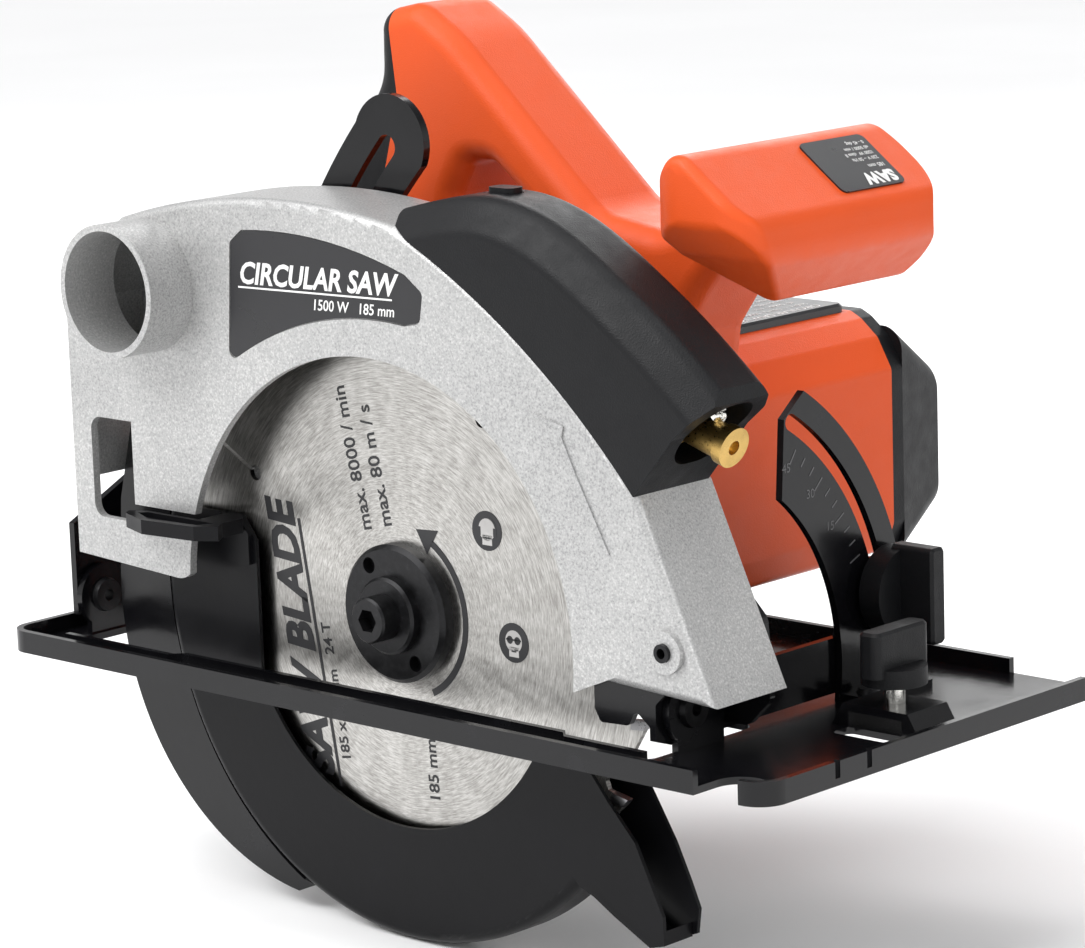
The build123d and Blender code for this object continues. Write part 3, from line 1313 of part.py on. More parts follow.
with BuildPart() as lower_guard:
    # near side: a crescent that leaves the flange and the blade's middle in view
    with BuildSketch(side(SWING_NEAR + SWING_T)):
        with BuildLine():
            sweep = (LEG_END + TOP_ANGLE - 360) / 2
            rim_arc = ThreePointArc(
                on_blade(SWING_OUT, LEG_END), on_blade(SWING_OUT, sweep),
                on_blade(SWING_OUT, TOP_ANGLE),
            )
            chord_low = (-55.5, SPINDLE_Z - sqrt(SWING_IN**2 - 55.5**2))
            inside = ThreePointArc(
                chord_low, on_blade(SWING_IN, -90), on_blade(SWING_IN, LEG_START)
            )
            Polyline(rim_arc @ 1, (-61.0, 46.1), (-55.5, 39.0), chord_low)
            Polyline(inside @ 1, *NEAR_LEG, rim_arc @ 0)
        make_face()
    extrude(amount=SWING_T)
    # far side: a full plate that turns on the hub
    with BuildSketch(side(SWING_FAR)):
        with BuildLine():
            rim_arc = ThreePointArc(
                on_blade(SWING_OUT, LEG_END), on_blade(SWING_OUT, sweep),
                on_blade(SWING_OUT, TOP_ANGLE),
            )
            Polyline(rim_arc @ 1, (-61.0, 46.1), (-16.0, 52.0), (0.0, 54.0), (18.0, 48.0),
                     (28.0, 32.0), (60.0, 2.0), *FAR_LEG, rim_arc @ 0)
        make_face()
        with Locations((0, SPINDLE_Z)):
            Circle(BOSS_R + RUN, mode=Mode.SUBTRACT)
    extrude(amount=SWING_T)
    # rim that joins them
    with BuildSketch(side(SWING_FAR - SWING_T)):
        sector(SWING_OUT - 1.2, SWING_OUT, TOP_ANGLE - 360, LEG_END, (0, SPINDLE_Z))
    extrude(amount=SWING_FAR - SWING_NEAR - 2 * SWING_T)
    # end wall of the leg, beyond the knife's reach, and its split rear wall
    with BuildSketch(side(SWING_FAR - SWING_T)):
        with BuildLine():
            Polyline(
                (97.4, -49.0), (97.5, -53.0), (92.4, -54.4), (91.7, -54.0), (93.0, -53.3),
                (96.0, -52.0), close=True,
            )
        make_face()
    extrude(amount=SWING_FAR - SWING_NEAR - 2 * SWING_T)
    with BuildSketch(side(SWING_FAR - SWING_T)):
        with BuildLine():
            Polyline(
                (92.4, -54.4), (79.8, -48.0), (72.5, -43.8), (67.6, -42.1), (66.9, -41.0),
                (73.0, -42.6), (80.3, -46.9), (91.6, -52.6), close=True,
            )
        make_face()
    extrude(amount=4.1)
    # rounded shoulder that carries the near plate over into the rim
    shoulder = Plane(
        origin=(0, 0, SPINDLE_Z),
        x_dir=(cos(radians(LEG_END)), 0, sin(radians(LEG_END))),
        z_dir=(-sin(radians(LEG_END)), 0, cos(radians(LEG_END))),
    )
    bend = (SWING_OUT - SHOULDER_R, SWING_NEAR + SHOULDER_R)
    with BuildSketch(shoulder):
        with Locations((bend[0] + 3, bend[1] - 3)):
            Rectangle(6, 6)
        with Locations(bend):
            Circle(SHOULDER_R, mode=Mode.SUBTRACT)
    revolve(axis=HUB_AXIS, revolution_arc=LEG_END + 360 - TOP_ANGLE, mode=Mode.SUBTRACT)
    with BuildSketch(shoulder):
        sector(SHOULDER_R - SWING_T, SHOULDER_R, -90, 0, bend)
    revolve(axis=HUB_AXIS, revolution_arc=LEG_END + 360 - TOP_ANGLE)
save(lower_guard, "lower_guard")

with BuildPart() as guard_lever:
    with BuildSketch(Plane.XY.offset(41.9)):
        with BuildLine():
            Polyline(
                (-66.5, -16.0), (-66.5, SWING_NEAR), (-60.5, SWING_NEAR), (-56.5, -8.0),
                (-56.5, -16.0), (-54.0, -20.0), (-60.0, -24.0), (-80.0, -26.0), (-91.0, -22.0),
                (-93.0, -19.0), (-88.0, -16.0), close=True,
            )
        make_face()
    extrude(amount=4.2)
    with BuildSketch(Plane.XY.offset(44.6)):
        with BuildLine():
            Polyline(
                (-58.5, -17.5), (-86.5, -17.5), (-88.5, -19.5), (-79.5, -23.6), (-61.0, -21.8),
                close=True,
            )
        make_face()
    extrude(amount=2, mode=Mode.SUBTRACT)
    # foot that is welded to the guard's top edge
    with BuildSketch(side(SWING_NEAR)):
        with BuildLine():
            Polyline((-69.0, 46.0), (-60.5, 46.0), (-57.0, 41.0), (-57.0, 32.0), (-69.0, 32.0), close=True)
        make_face()
    extrude(amount=1.5)
save(guard_lever, "guard_lever")

with BuildPart() as guard_retainer:
    with BuildSketch(side(HUB_NEAR + 1.2)):
        with Locations((0, SPINDLE_Z)):
            Circle(BOSS_R + 2.2)
            Circle(BOSS_R - 1.4, mode=Mode.SUBTRACT)
            Rectangle(5, 60, mode=Mode.SUBTRACT)
            Circle(BOSS_R + 2.2)
            Circle(BOSS_R - 1.4, mode=Mode.SUBTRACT)
    extrude(amount=0.8)
save(guard_retainer, "guard_retainer")

with BuildPart() as guard_spring:
    for ring in range(2):
        with BuildSketch(side(10.6 + ring * 1.5)):
            with Locations((0, SPINDLE_Z)):
                Circle(25.4)
                Circle(24.2, mode=Mode.SUBTRACT)
        extrude(amount=1.2)
    with BuildSketch(side(12.1)):
        with Locations((-32.5, 44)):
            Rectangle(22, 1.2, rotation=140)
    extrude(amount=1.2)
    with BuildSketch(side(12.1)):
        with Locations((-24.5, 28)):
            Rectangle(1.2, 3)
    extrude(amount=2.7)
save(guard_spring, "guard_spring")

# ================================================================ depth clamp and locks
LEVER_NEAR = LINK_NEAR + LINK_T + 0.4
with BuildPart() as depth_bolt:
    with BuildSketch(side(GUARD_FAR - GUARD_T)):
        with Locations((BOLT_X, BOLT_Z)):
            Circle(7)
    extrude(amount=2.6, taper=35)
    with BuildSketch(side(GUARD_FAR)):
        with Locations((BOLT_X, BOLT_Z)):
            Rectangle(6.0, 6.0)
    extrude(amount=GUARD_T)
    barrel(3, BOLT_X, BOLT_Z, GUARD_FAR, LEVER_NEAR + 11)
save(depth_bolt, "depth_bolt")

with BuildPart() as depth_lever:
    barrel(9, BOLT_X, BOLT_Z, LEVER_NEAR, LEVER_NEAR + 9)
    with BuildSketch(side(LEVER_NEAR + 9)):
        with BuildLine():
            Polyline(
                (BOLT_X - 6, BOLT_Z + 6), (BOLT_X - 52, BOLT_Z + 22), (BOLT_X - 58, BOLT_Z + 17),
                (BOLT_X - 55, BOLT_Z + 10), (BOLT_X - 4, BOLT_Z - 8), close=True,
            )
        arm = make_face()
        fillet(arm.vertices().filter_by(lambda v: v.X < BOLT_X - 40), radius=3)
    extrude(amount=5)
    bore(3 + RUN, BOLT_X, BOLT_Z, LEVER_NEAR - 1, LEVER_NEAR + 10)
save(depth_lever, "depth_lever")

with BuildPart() as spindle_lock_button:
    with BuildSketch(front(21.6)):
        with Locations((24.5, SPINDLE_Z - 6)):
            Circle(2)
    extrude(amount=12)
    with BuildSketch(front(30)):
        with Locations((24.5, SPINDLE_Z - 6)):
            Circle(6)
    extrude(amount=6)
    chamfer(spindle_lock_button.faces().sort_by(Axis.X)[-1].edges(), 1)
save(spindle_lock_button, "spindle_lock_button")

with BuildPart() as grip_label:
    with BuildSketch(Plane(origin=(101.2, 76.5, 148.25), x_dir=(0, 1, 0), z_dir=(19, 0, 25.2))):
        RectangleRounded(27, 20, 2)
    extrude(amount=0.5)
save(grip_label, "grip_label")
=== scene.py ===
"""Looks of the circular saw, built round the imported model. Metres, row frame."""

import json
from math import cos, radians, sin, tau

import bmesh
import bpy
from mathutils import Matrix, Vector


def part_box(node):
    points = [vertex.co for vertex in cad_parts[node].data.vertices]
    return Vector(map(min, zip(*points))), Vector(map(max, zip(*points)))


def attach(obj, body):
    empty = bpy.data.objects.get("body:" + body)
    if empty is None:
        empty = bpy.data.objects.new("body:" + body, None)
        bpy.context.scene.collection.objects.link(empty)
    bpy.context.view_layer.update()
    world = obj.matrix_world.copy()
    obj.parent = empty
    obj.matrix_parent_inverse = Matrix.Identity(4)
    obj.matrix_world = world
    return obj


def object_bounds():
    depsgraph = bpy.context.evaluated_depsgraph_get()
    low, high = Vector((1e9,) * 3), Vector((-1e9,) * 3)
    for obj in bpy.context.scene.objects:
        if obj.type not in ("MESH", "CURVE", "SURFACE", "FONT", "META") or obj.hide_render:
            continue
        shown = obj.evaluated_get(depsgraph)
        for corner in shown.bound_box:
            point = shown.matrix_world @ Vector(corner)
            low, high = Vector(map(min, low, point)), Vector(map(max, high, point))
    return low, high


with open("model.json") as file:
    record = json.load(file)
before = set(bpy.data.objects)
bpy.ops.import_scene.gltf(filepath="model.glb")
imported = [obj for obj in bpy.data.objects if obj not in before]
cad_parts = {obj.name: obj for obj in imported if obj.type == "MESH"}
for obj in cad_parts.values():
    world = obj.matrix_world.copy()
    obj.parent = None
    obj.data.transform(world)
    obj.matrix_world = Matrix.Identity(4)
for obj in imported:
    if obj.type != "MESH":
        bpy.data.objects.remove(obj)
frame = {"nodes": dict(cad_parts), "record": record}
cad_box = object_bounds()
nodes = frame["nodes"]

MM = 0.001
SPINDLE_Z = 25 * MM
PRINT_LIFT = 0.05 * MM


# ---------------------------------------------------------------- material helpers
def new_material(name, metallic=0.0, roughness=0.5, **inputs):
    """Empty node material with one Principled shader and its constants set on it."""
    material = bpy.data.materials.new(name)
    material.use_nodes = True
    tree = material.node_tree
    tree.nodes.clear()
    output = tree.nodes.new("ShaderNodeOutputMaterial")
    shader = tree.nodes.new("ShaderNodeBsdfPrincipled")
    tree.links.new(shader.outputs["BSDF"], output.inputs["Surface"])
    shader.inputs["Metallic"].default_value = metallic
    shader.inputs["Roughness"].default_value = roughness
    for key, value in inputs.items():
        shader.inputs[key.replace("_", " ")].default_value = value
    coords = tree.nodes.new("ShaderNodeTexCoord")
    return material, tree, shader, coords.outputs["Object"]


def noise(tree, vector, scale, detail=3.0, rough=0.55, distortion=0.0):
    """Noise value over a vector."""
    node = tree.nodes.new("ShaderNodeTexNoise")
    node.inputs["Scale"].default_value = scale
    node.inputs["Detail"].default_value = detail
    node.inputs["Roughness"].default_value = rough
    node.inputs["Distortion"].default_value = distortion
    tree.links.new(vector, node.inputs["Vector"])
    return node.outputs["Fac"]


def cells(tree, vector, scale):
    """Distance to the nearest of scattered points, for grain with soft pits."""
    node = tree.nodes.new("ShaderNodeTexVoronoi")
    node.inputs["Scale"].default_value = scale
    tree.links.new(vector, node.inputs["Vector"])
    return node.outputs["Distance"]


def ramp(tree, value, stops):
    """Colour ramp through (position, colour) stops."""
    node = tree.nodes.new("ShaderNodeValToRGB")
    elements = node.color_ramp.elements
    while len(elements) < len(stops):
        elements.new(0.5)
    for element, (position, colour) in zip(elements, stops):
        element.position = position
        element.color = (*colour, 1.0)
    tree.links.new(value, node.inputs["Fac"])
    return node.outputs["Color"]


def spread(tree, value, low, high, from_low=0.3, from_high=0.7):
    """Value stretched to a range."""
    node = tree.nodes.new("ShaderNodeMapRange")
    node.inputs["From Min"].default_value = from_low
    node.inputs["From Max"].default_value = from_high
    node.inputs["To Min"].default_value = low
    node.inputs["To Max"].default_value = high
    tree.links.new(value, node.inputs["Value"])
    return node.outputs["Result"]


def math_node(tree, operation, first, second=None):
    """One arithmetic step on sockets or numbers."""
    node = tree.nodes.new("ShaderNodeMath")
    node.operation = operation
    for socket, value in zip(node.inputs, (first, second)):
        if value is None:
            continue
        if isinstance(value, (int, float)):
            socket.default_value = value
        else:
            tree.links.new(value, socket)
    return node.outputs[0]


def bump(tree, shader, height, strength, distance):
    """Surface relief from a height value, distance in metres."""
    node = tree.nodes.new("ShaderNodeBump")
    node.inputs["Strength"].default_value = strength
    node.inputs["Distance"].default_value = distance
    tree.links.new(height, node.inputs["Height"])
    tree.links.new(node.outputs["Normal"], shader.inputs["Normal"])


def tint(colour, factor):
    """Colour made lighter or darker."""
    return tuple(min(1.0, channel * factor) for channel in colour)


# ---------------------------------------------------------------- materials
def cast_alloy():
    """Silver paint over a sand casting: fine sparkle and a slow drift in tone."""
    material, tree, shader, place = new_material("cast_alloy", 0.55, 0.42)
    speck = noise(tree, place, 1700, 2.0, 0.6)
    drift = noise(tree, place, 18, 3.0)
    slow = math_node(tree, "MULTIPLY", drift, 0.3)
    mixed = math_node(tree, "ADD", slow, math_node(tree, "MULTIPLY", speck, 0.7))
    stops = (
        (0.34, (0.30, 0.30, 0.30)),
        (0.46, (0.42, 0.42, 0.418)),
        (0.56, (0.47, 0.47, 0.465)),
        (0.68, (0.62, 0.62, 0.61)),
    )
    tree.links.new(ramp(tree, mixed, stops), shader.inputs["Base Color"])
    tree.links.new(spread(tree, speck, 0.54, 0.38), shader.inputs["Roughness"])
    bump(tree, shader, mixed, 0.22, 0.0003)
    return material


def moulded_plastic(name, colour, roughness, grain, relief, drift_amount=0.08):
    """Spark-grained moulding with a faint drift in colour and gloss."""
    material, tree, shader, place = new_material(name, 0.0, roughness, Specular_IOR_Level=0.22)
    fine = cells(tree, place, grain)
    drift = noise(tree, place, 14, 4.0)
    stops = (
        (0.3, tint(colour, 1 - drift_amount)),
        (0.5, colour),
        (0.7, tint(colour, 1 + drift_amount)),
    )
    tree.links.new(ramp(tree, drift, stops), shader.inputs["Base Color"])
    scuff = noise(tree, place, 160, 5.0, 0.65)
    tree.links.new(
        spread(tree, scuff, roughness - 0.06, roughness + 0.08), shader.inputs["Roughness"]
    )
    bump(tree, shader, fine, relief, 0.0002)
    return material


def enamel(name, colour, roughness, shine):
    """Black enamel with orange-peel, dust and hair scratches, under a coat of given shine."""
    material, tree, shader, place = new_material(
        name, 0.0, roughness, Specular_IOR_Level=0.1 + shine, Coat_Weight=shine, Coat_Roughness=0.1
    )
    peel = noise(tree, place, 260, 2.0)
    smudge = noise(tree, place, 30, 5.0, 0.6, 0.6)
    stops = ((0.35, tint(colour, 0.7)), (0.6, colour), (0.78, tint(colour, 2.2)))
    tree.links.new(ramp(tree, smudge, stops), shader.inputs["Base Color"])
    tree.links.new(
        spread(tree, smudge, roughness - 0.05, roughness + 0.12), shader.inputs["Roughness"]
    )
    bump(tree, shader, peel, 0.12, 0.0003)
    return material


def polar_place(tree, place, radial_scale, turn_scale):
    """Vector whose first axis runs out from the spindle and whose second runs round it."""
    split = tree.nodes.new("ShaderNodeSeparateXYZ")
    tree.links.new(place, split.inputs[0])
    x = split.outputs["X"]
    z = math_node(tree, "SUBTRACT", split.outputs["Z"], SPINDLE_Z)
    across = math_node(tree, "MULTIPLY", x, x)
    upward = math_node(tree, "MULTIPLY", z, z)
    radius = math_node(tree, "SQRT", math_node(tree, "ADD", across, upward))
    angle = math_node(tree, "ARCTAN2", z, x)
    joined = tree.nodes.new("ShaderNodeCombineXYZ")
    tree.links.new(math_node(tree, "MULTIPLY", radius, radial_scale), joined.inputs["X"])
    for function, axis in (("SINE", "Y"), ("COSINE", "Z")):
        turn = math_node(tree, function, angle)
        tree.links.new(math_node(tree, "MULTIPLY", turn, turn_scale), joined.inputs[axis])
    return joined.outputs["Vector"]


def blade_steel():
    """Steel ground in circles, with the cross-hatch the grinding stone leaves, and broad fans of
    painted sheen round the spindle in its colour.
    """
    material, tree, shader, place = new_material("blade_steel", 1.0, 0.32, Anisotropic=0.85)
    tangent = tree.nodes.new("ShaderNodeTangent")
    tangent.direction_type = "RADIAL"
    tangent.axis = "Y"
    tree.links.new(tangent.outputs["Tangent"], shader.inputs["Tangent"])
    ground = noise(tree, polar_place(tree, place, 2600, 14.0), 1.0, 3.0, 0.7)
    # broad fans of lighter and darker steel round the spindle: painted sheen standing in for the
    # blade's bright sectors; the same fans also vary the roughness
    sheen_fans = noise(tree, polar_place(tree, place, 60, 9.0), 1.0, 3.0, 0.6)
    lines = math_node(tree, "MULTIPLY", ground, 0.75)
    mixed = math_node(tree, "ADD", lines, math_node(tree, "MULTIPLY", sheen_fans, 0.25))
    stops = (
        (0.38, (0.30, 0.29, 0.275)),
        (0.50, (0.44, 0.43, 0.41)),
        (0.62, (0.60, 0.59, 0.57)),
    )
    tree.links.new(ramp(tree, mixed, stops), shader.inputs["Base Color"])
    tree.links.new(spread(tree, sheen_fans, 0.28, 0.36), shader.inputs["Roughness"])
    bump(tree, shader, ground, 0.2, 0.00008)
    return material


def turned_metal(name, colour, roughness, scale=1400):
    """Bare machined metal with fine tool marks and slight staining."""
    material, tree, shader, place = new_material(name, 1.0, roughness)
    marks = noise(tree, place, scale, 4.0, 0.7)
    stain = noise(tree, place, 90, 4.0)
    stops = ((0.3, tint(colour, 0.72)), (0.55, colour), (0.75, tint(colour, 1.15)))
    tree.links.new(ramp(tree, stain, stops), shader.inputs["Base Color"])
    tree.links.new(spread(tree, marks, roughness - 0.06, roughness + 0.1), shader.inputs["Roughness"])
    bump(tree, shader, marks, 0.12, 0.0002)
    return material


def dark_oxide(name, colour, roughness):
    """Black oxide on steel: half metal, with worn lighter flecks."""
    material, tree, shader, place = new_material(name, 0.6, roughness)
    wear = noise(tree, place, 420, 5.0, 0.7)
    stops = ((0.45, colour), (0.62, tint(colour, 1.6)), (0.72, tint(colour, 3.0)))
    tree.links.new(ramp(tree, wear, stops), shader.inputs["Base Color"])
    tree.links.new(spread(tree, wear, roughness - 0.05, roughness + 0.12), shader.inputs["Roughness"])
    bump(tree, shader, wear, 0.1, 0.0002)
    return material


def printed_film(name, colour, roughness):
    """Plastic film or ink with a fine print screen and light rubbing."""
    material, tree, shader, place = new_material(name, 0.0, roughness)
    screen = noise(tree, place, 2600, 1.0)
    rub = noise(tree, place, 70, 4.0)
    stops = ((0.35, tint(colour, 0.85)), (0.55, colour), (0.75, tint(colour, 1.12)))
    tree.links.new(ramp(tree, rub, stops), shader.inputs["Base Color"])
    tree.links.new(spread(tree, rub, roughness - 0.05, roughness + 0.08), shader.inputs["Roughness"])
    bump(tree, shader, screen, 0.08, 0.0001)
    return material


ORANGE = (0.66, 0.080, 0.013)
BLACK = (0.0050, 0.0052, 0.0062)

LOOKS = {
    "cast_alloy": cast_alloy(),
    "orange_plastic": moulded_plastic("orange_plastic", ORANGE, 0.42, 2600, 0.22, 0.05),
    "black_plastic": moulded_plastic("black_plastic", BLACK, 0.46, 2200, 0.25, 0.2),
    "gland_rubber": moulded_plastic("gland_rubber", (0.014, 0.014, 0.015), 0.7, 1500, 0.2, 0.2),
    "carbon": moulded_plastic("carbon", (0.03, 0.03, 0.032), 0.6, 1800, 0.3, 0.3),
    "black_gloss_steel": enamel("black_gloss_steel", (0.004, 0.004, 0.005), 0.18, 0.15),
    "black_lower_guard": enamel("black_lower_guard", (0.004, 0.004, 0.005), 0.34, 0.04),
    "black_fittings": dark_oxide("black_fittings", (0.010, 0.010, 0.011), 0.32),
    "blade_steel": blade_steel(),
    "carbide": turned_metal("carbide", (0.42, 0.42, 0.43), 0.30),
    "shaft_steel": turned_metal("shaft_steel", (0.55, 0.55, 0.56), 0.30),
    "zinc_screw": turned_metal("zinc_screw", (0.78, 0.77, 0.73), 0.16),
    "core_steel": turned_metal("core_steel", (0.30, 0.30, 0.31), 0.45),
    "copper": turned_metal("copper", (0.74, 0.36, 0.18), 0.32),
    "brass": turned_metal("brass", (0.58, 0.38, 0.12), 0.30),
    "label_film": printed_film("label_film", (0.010, 0.010, 0.012), 0.30),
}
WHITE_INK = printed_film("white_ink", (0.78, 0.78, 0.77), 0.45)
ENGRAVED = printed_film("engraved", (0.075, 0.075, 0.078), 0.40)
PALE_INK = printed_film("pale_ink", (0.42, 0.41, 0.40), 0.45)
BLACK_INK = printed_film("black_ink", (0.012, 0.012, 0.014), 0.45)

for row in frame["record"]["subparts"]:
    part = nodes[row["node"]]
    part.data.materials.clear()
    part.data.materials.append(LOOKS[row["material_slot"]])


# ---------------------------------------------------------------- printed marks
def plate_matrix(origin, x_dir, normal):
    """Frame with its X along x_dir and its Z along the surface's normal."""
    z_axis = Vector(normal).normalized()
    x_axis = Vector(x_dir)
    x_axis = (x_axis - z_axis * x_axis.dot(z_axis)).normalized()
    y_axis = z_axis.cross(x_axis)
    turn = Matrix((x_axis, y_axis, z_axis)).transposed().to_4x4()
    return Matrix.Translation(Vector(origin)) @ turn


def add_piece(name, mesh, matrix, body, ink):
    """Put a finished mesh in place, give it its look and let it ride."""
    piece = bpy.data.objects.new(name, mesh)
    bpy.context.scene.collection.objects.link(piece)
    piece.matrix_world = matrix
    mesh.materials.clear()
    mesh.materials.append(ink)
    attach(piece, body)
    return piece


def print_text(name, words, height, matrix, body, ink, heavy=0.0, slant=0.0, align="LEFT"):
    """Thin raised lettering, one height in metres for capital letters."""
    curve = bpy.data.curves.new(name, "FONT")
    curve.body = words
    curve.size = height / 0.72
    curve.shear = slant
    curve.offset = heavy
    curve.align_x = align
    curve.extrude = 0.02 * MM
    curve.resolution_u = 3
    carrier = bpy.data.objects.new(name, curve)
    bpy.context.scene.collection.objects.link(carrier)
    bpy.context.view_layer.update()
    mesh = bpy.data.meshes.new_from_object(carrier)
    bpy.data.objects.remove(carrier)
    bpy.data.curves.remove(curve)
    return add_piece(name, mesh, matrix, body, ink)


def flat_mesh(name, outlines, thickness=0.04 * MM):
    """Thin plates from closed outlines of (x, y) points, in one mesh."""
    shape = bmesh.new()
    for outline in outlines:
        low = [shape.verts.new((x, y, 0)) for x, y in outline]
        high = [shape.verts.new((x, y, thickness)) for x, y in outline]
        shape.faces.new(list(reversed(low)))
        shape.faces.new(high)
        count = len(outline)
        for i in range(count):
            j = (i + 1) % count
            shape.faces.new((low[i], low[j], high[j], high[i]))
    mesh = bpy.data.meshes.new(name)
    shape.to_mesh(mesh)
    shape.free()
    return mesh


def arc_band(centre, inner, outer, start, end, steps=28):
    """Outline of a curved band, angles in degrees."""
    points = []
    for radius, order in ((outer, range(steps + 1)), (inner, range(steps, -1, -1))):
        for i in order:
            angle = radians(start + (end - start) * i / steps)
            points.append((centre[0] + radius * cos(angle), centre[1] + radius * sin(angle)))
    return points


def bar(x, y, length, width, angle=0.0):
    """Outline of a straight bar about its middle."""
    turn = radians(angle)
    points = []
    for u, v in ((-1, -1), (1, -1), (1, 1), (-1, 1)):
        a, b = u * length / 2, v * width / 2
        points.append((x + a * cos(turn) - b * sin(turn), y + a * sin(turn) + b * cos(turn)))
    return points


# marks on the blade, all in the blade's own plane
BLADE_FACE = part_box("blade")[0].y - PRINT_LIFT


def blade_plane(x, z, angle=0.0):
    """Frame on the blade's face at a point, turned by an angle in degrees."""
    run = (cos(radians(angle)), 0, sin(radians(angle)))
    return plate_matrix((x * MM, BLADE_FACE, z * MM), run, (0, -1, 0))


# name, words, capital height, x, z, turn in degrees, weight, slant
BLADE_TEXTS = (
    ("blade_title", "SAW BLADE", 10.6, -30.5, -27.5, 99.6, 0.0006, 0.25),
    ("blade_size", "185 x 20 mm   24 T", 3.6, -23.4, -22.0, 99.6, 0.0001, 0.0),
    ("blade_speed", "max. 8000 / min", 4.6, -11.1, 47.0, 102.5, 0.0001, 0.0),
    ("blade_rim_speed", "max. 80 m / s", 4.6, -3.0, 49.0, 102.5, 0.0001, 0.0),
    ("blade_diameter", "185 mm", 4.0, 11.9, -28.5, 94.0, 0.0001, 0.0),
)
for name, words, size, x, z, angle, heavy, slant in BLADE_TEXTS:
    print_text(
        name, words, size * MM, blade_plane(x, z, angle), "blade_set", BLACK_INK,
        heavy, slant,
    )

add_piece(
    "blade_underline",
    flat_mesh("blade_underline", [bar(0.036, -0.0022, 0.078, 0.0011)]),
    blade_plane(-30.5, -27.5, 99.6),
    "blade_set",
    BLACK_INK,
)

arrow = [
    arc_band((0, 0), 23.3 * MM, 25.3 * MM, -64, 60, 48),
    [(6.4 * MM, 24.4 * MM), (15.0 * MM, 24.9 * MM), (10.4 * MM, 17.6 * MM)],
]
add_piece(
    "blade_turn_arrow",
    flat_mesh("blade_turn_arrow", arrow),
    blade_plane(0, 25.0),
    "blade_set",
    BLACK_INK,
)


def disc(x, y, radius, steps=28):
    """Outline of a filled circle."""
    return [
        (x + radius * cos(tau * i / steps), y + radius * sin(tau * i / steps)) for i in range(steps)
    ]


def sign(name, x, z, pale_marks, dark_marks):
    """Round safety sign: a dark disc, a pale figure on it and dark features on that."""
    layers = (
        ("ground", [disc(0, 0, 5.6 * MM)], BLACK_INK, 0.0),
        ("figure", pale_marks, PALE_INK, 0.03 * MM),
        ("feature", dark_marks, BLACK_INK, 0.05 * MM),
    )
    for part, shapes, ink, lift in layers:
        title = f"{name}_{part}"
        place = blade_plane(x, z) @ Matrix.Translation((0, 0, lift))
        add_piece(title, flat_mesh(title, shapes), place, "blade_set", ink)


HEAD = [disc(0, 0.4 * MM, 3.1 * MM), bar(0, -2.6 * MM, 3.6 * MM, 2.8 * MM)]
goggles = [
    disc(-1.4 * MM, 0.7 * MM, 1.15 * MM, 16),
    disc(1.4 * MM, 0.7 * MM, 1.15 * MM, 16),
    bar(0, 0.8 * MM, 5.6 * MM, 0.5 * MM),
    bar(0, -2.4 * MM, 1.8 * MM, 0.4 * MM),
]
ear_guards = [
    arc_band((0, 0.4 * MM), 3.2 * MM, 3.7 * MM, 15, 165, 20),
    bar(-3.0 * MM, -0.2 * MM, 1.3 * MM, 2.4 * MM),
    bar(3.0 * MM, -0.2 * MM, 1.3 * MM, 2.4 * MM),
    bar(0, -2.0 * MM, 1.8 * MM, 0.4 * MM),
]
sign("blade_sign_ears", 33.8, 52.2, HEAD, ear_guards)
sign("blade_sign_goggles", 42.5, 22.0, HEAD, goggles)

# name panel on the guard
PANEL_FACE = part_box("guard_label")[0].y - PRINT_LIFT
print_text(
    "panel_title", "CIRCULAR SAW", 6.2 * MM,
    plate_matrix((-46.0 * MM, PANEL_FACE, 116.2 * MM), (1, 0, 0.02), (0, -1, 0)),
    "saw_body", WHITE_INK, 0.00022, 0.25,
)
add_piece(
    "panel_underline",
    flat_mesh("panel_underline", [bar(30.0 * MM, 0, 61.0 * MM, 0.5 * MM)]),
    plate_matrix((-45.8 * MM, PANEL_FACE, 115.0 * MM), (1, 0, 0.02), (0, -1, 0)),
    "saw_body", WHITE_INK,
)
print_text(
    "panel_size", "1500 W   185 mm", 3.1 * MM,
    plate_matrix((15.4 * MM, PANEL_FACE, 111.6 * MM), (1, 0, 0.02), (0, -1, 0)),
    "saw_body", WHITE_INK, 0.00004, 0.15, "RIGHT",
)

# rating lines on the grip's panel and the motor's panel
INK_LIFT = 0.31 * MM
LINE_START = 11.5 * MM
GRIP_NORMAL = Vector((19.0, 0, 25.2)).normalized()
grip_low, grip_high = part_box("grip_label")
grip_middle = (grip_low + grip_high) / 2 + GRIP_NORMAL * INK_LIFT
grip_down = Vector((GRIP_NORMAL.z, 0, -GRIP_NORMAL.x))
# words, capital height, distance down the panel from its middle, weight
GRIP_LINES = (
    ("SAW", 4.2, -4.8, 0.0003),
    ("185 mm", 1.5, -1.6, 0.0),
    ("230 V ~ 50 Hz", 1.3, 1.2, 0.0),
    ("1500 W  class II", 1.3, 3.3, 0.0),
    ("n0 5000 / min", 1.3, 5.4, 0.0),
    ("0 - 45 deg", 1.3, 7.5, 0.0),
)
for row, (words, size, across, heavy) in enumerate(GRIP_LINES):
    spot = grip_middle - grip_down * across * MM + Vector((0, LINE_START, 0))
    print_text(
        f"grip_line_{row}", words, size * MM,
        plate_matrix(spot, (0, -1, 0), GRIP_NORMAL), "saw_body", WHITE_INK, heavy,
    )

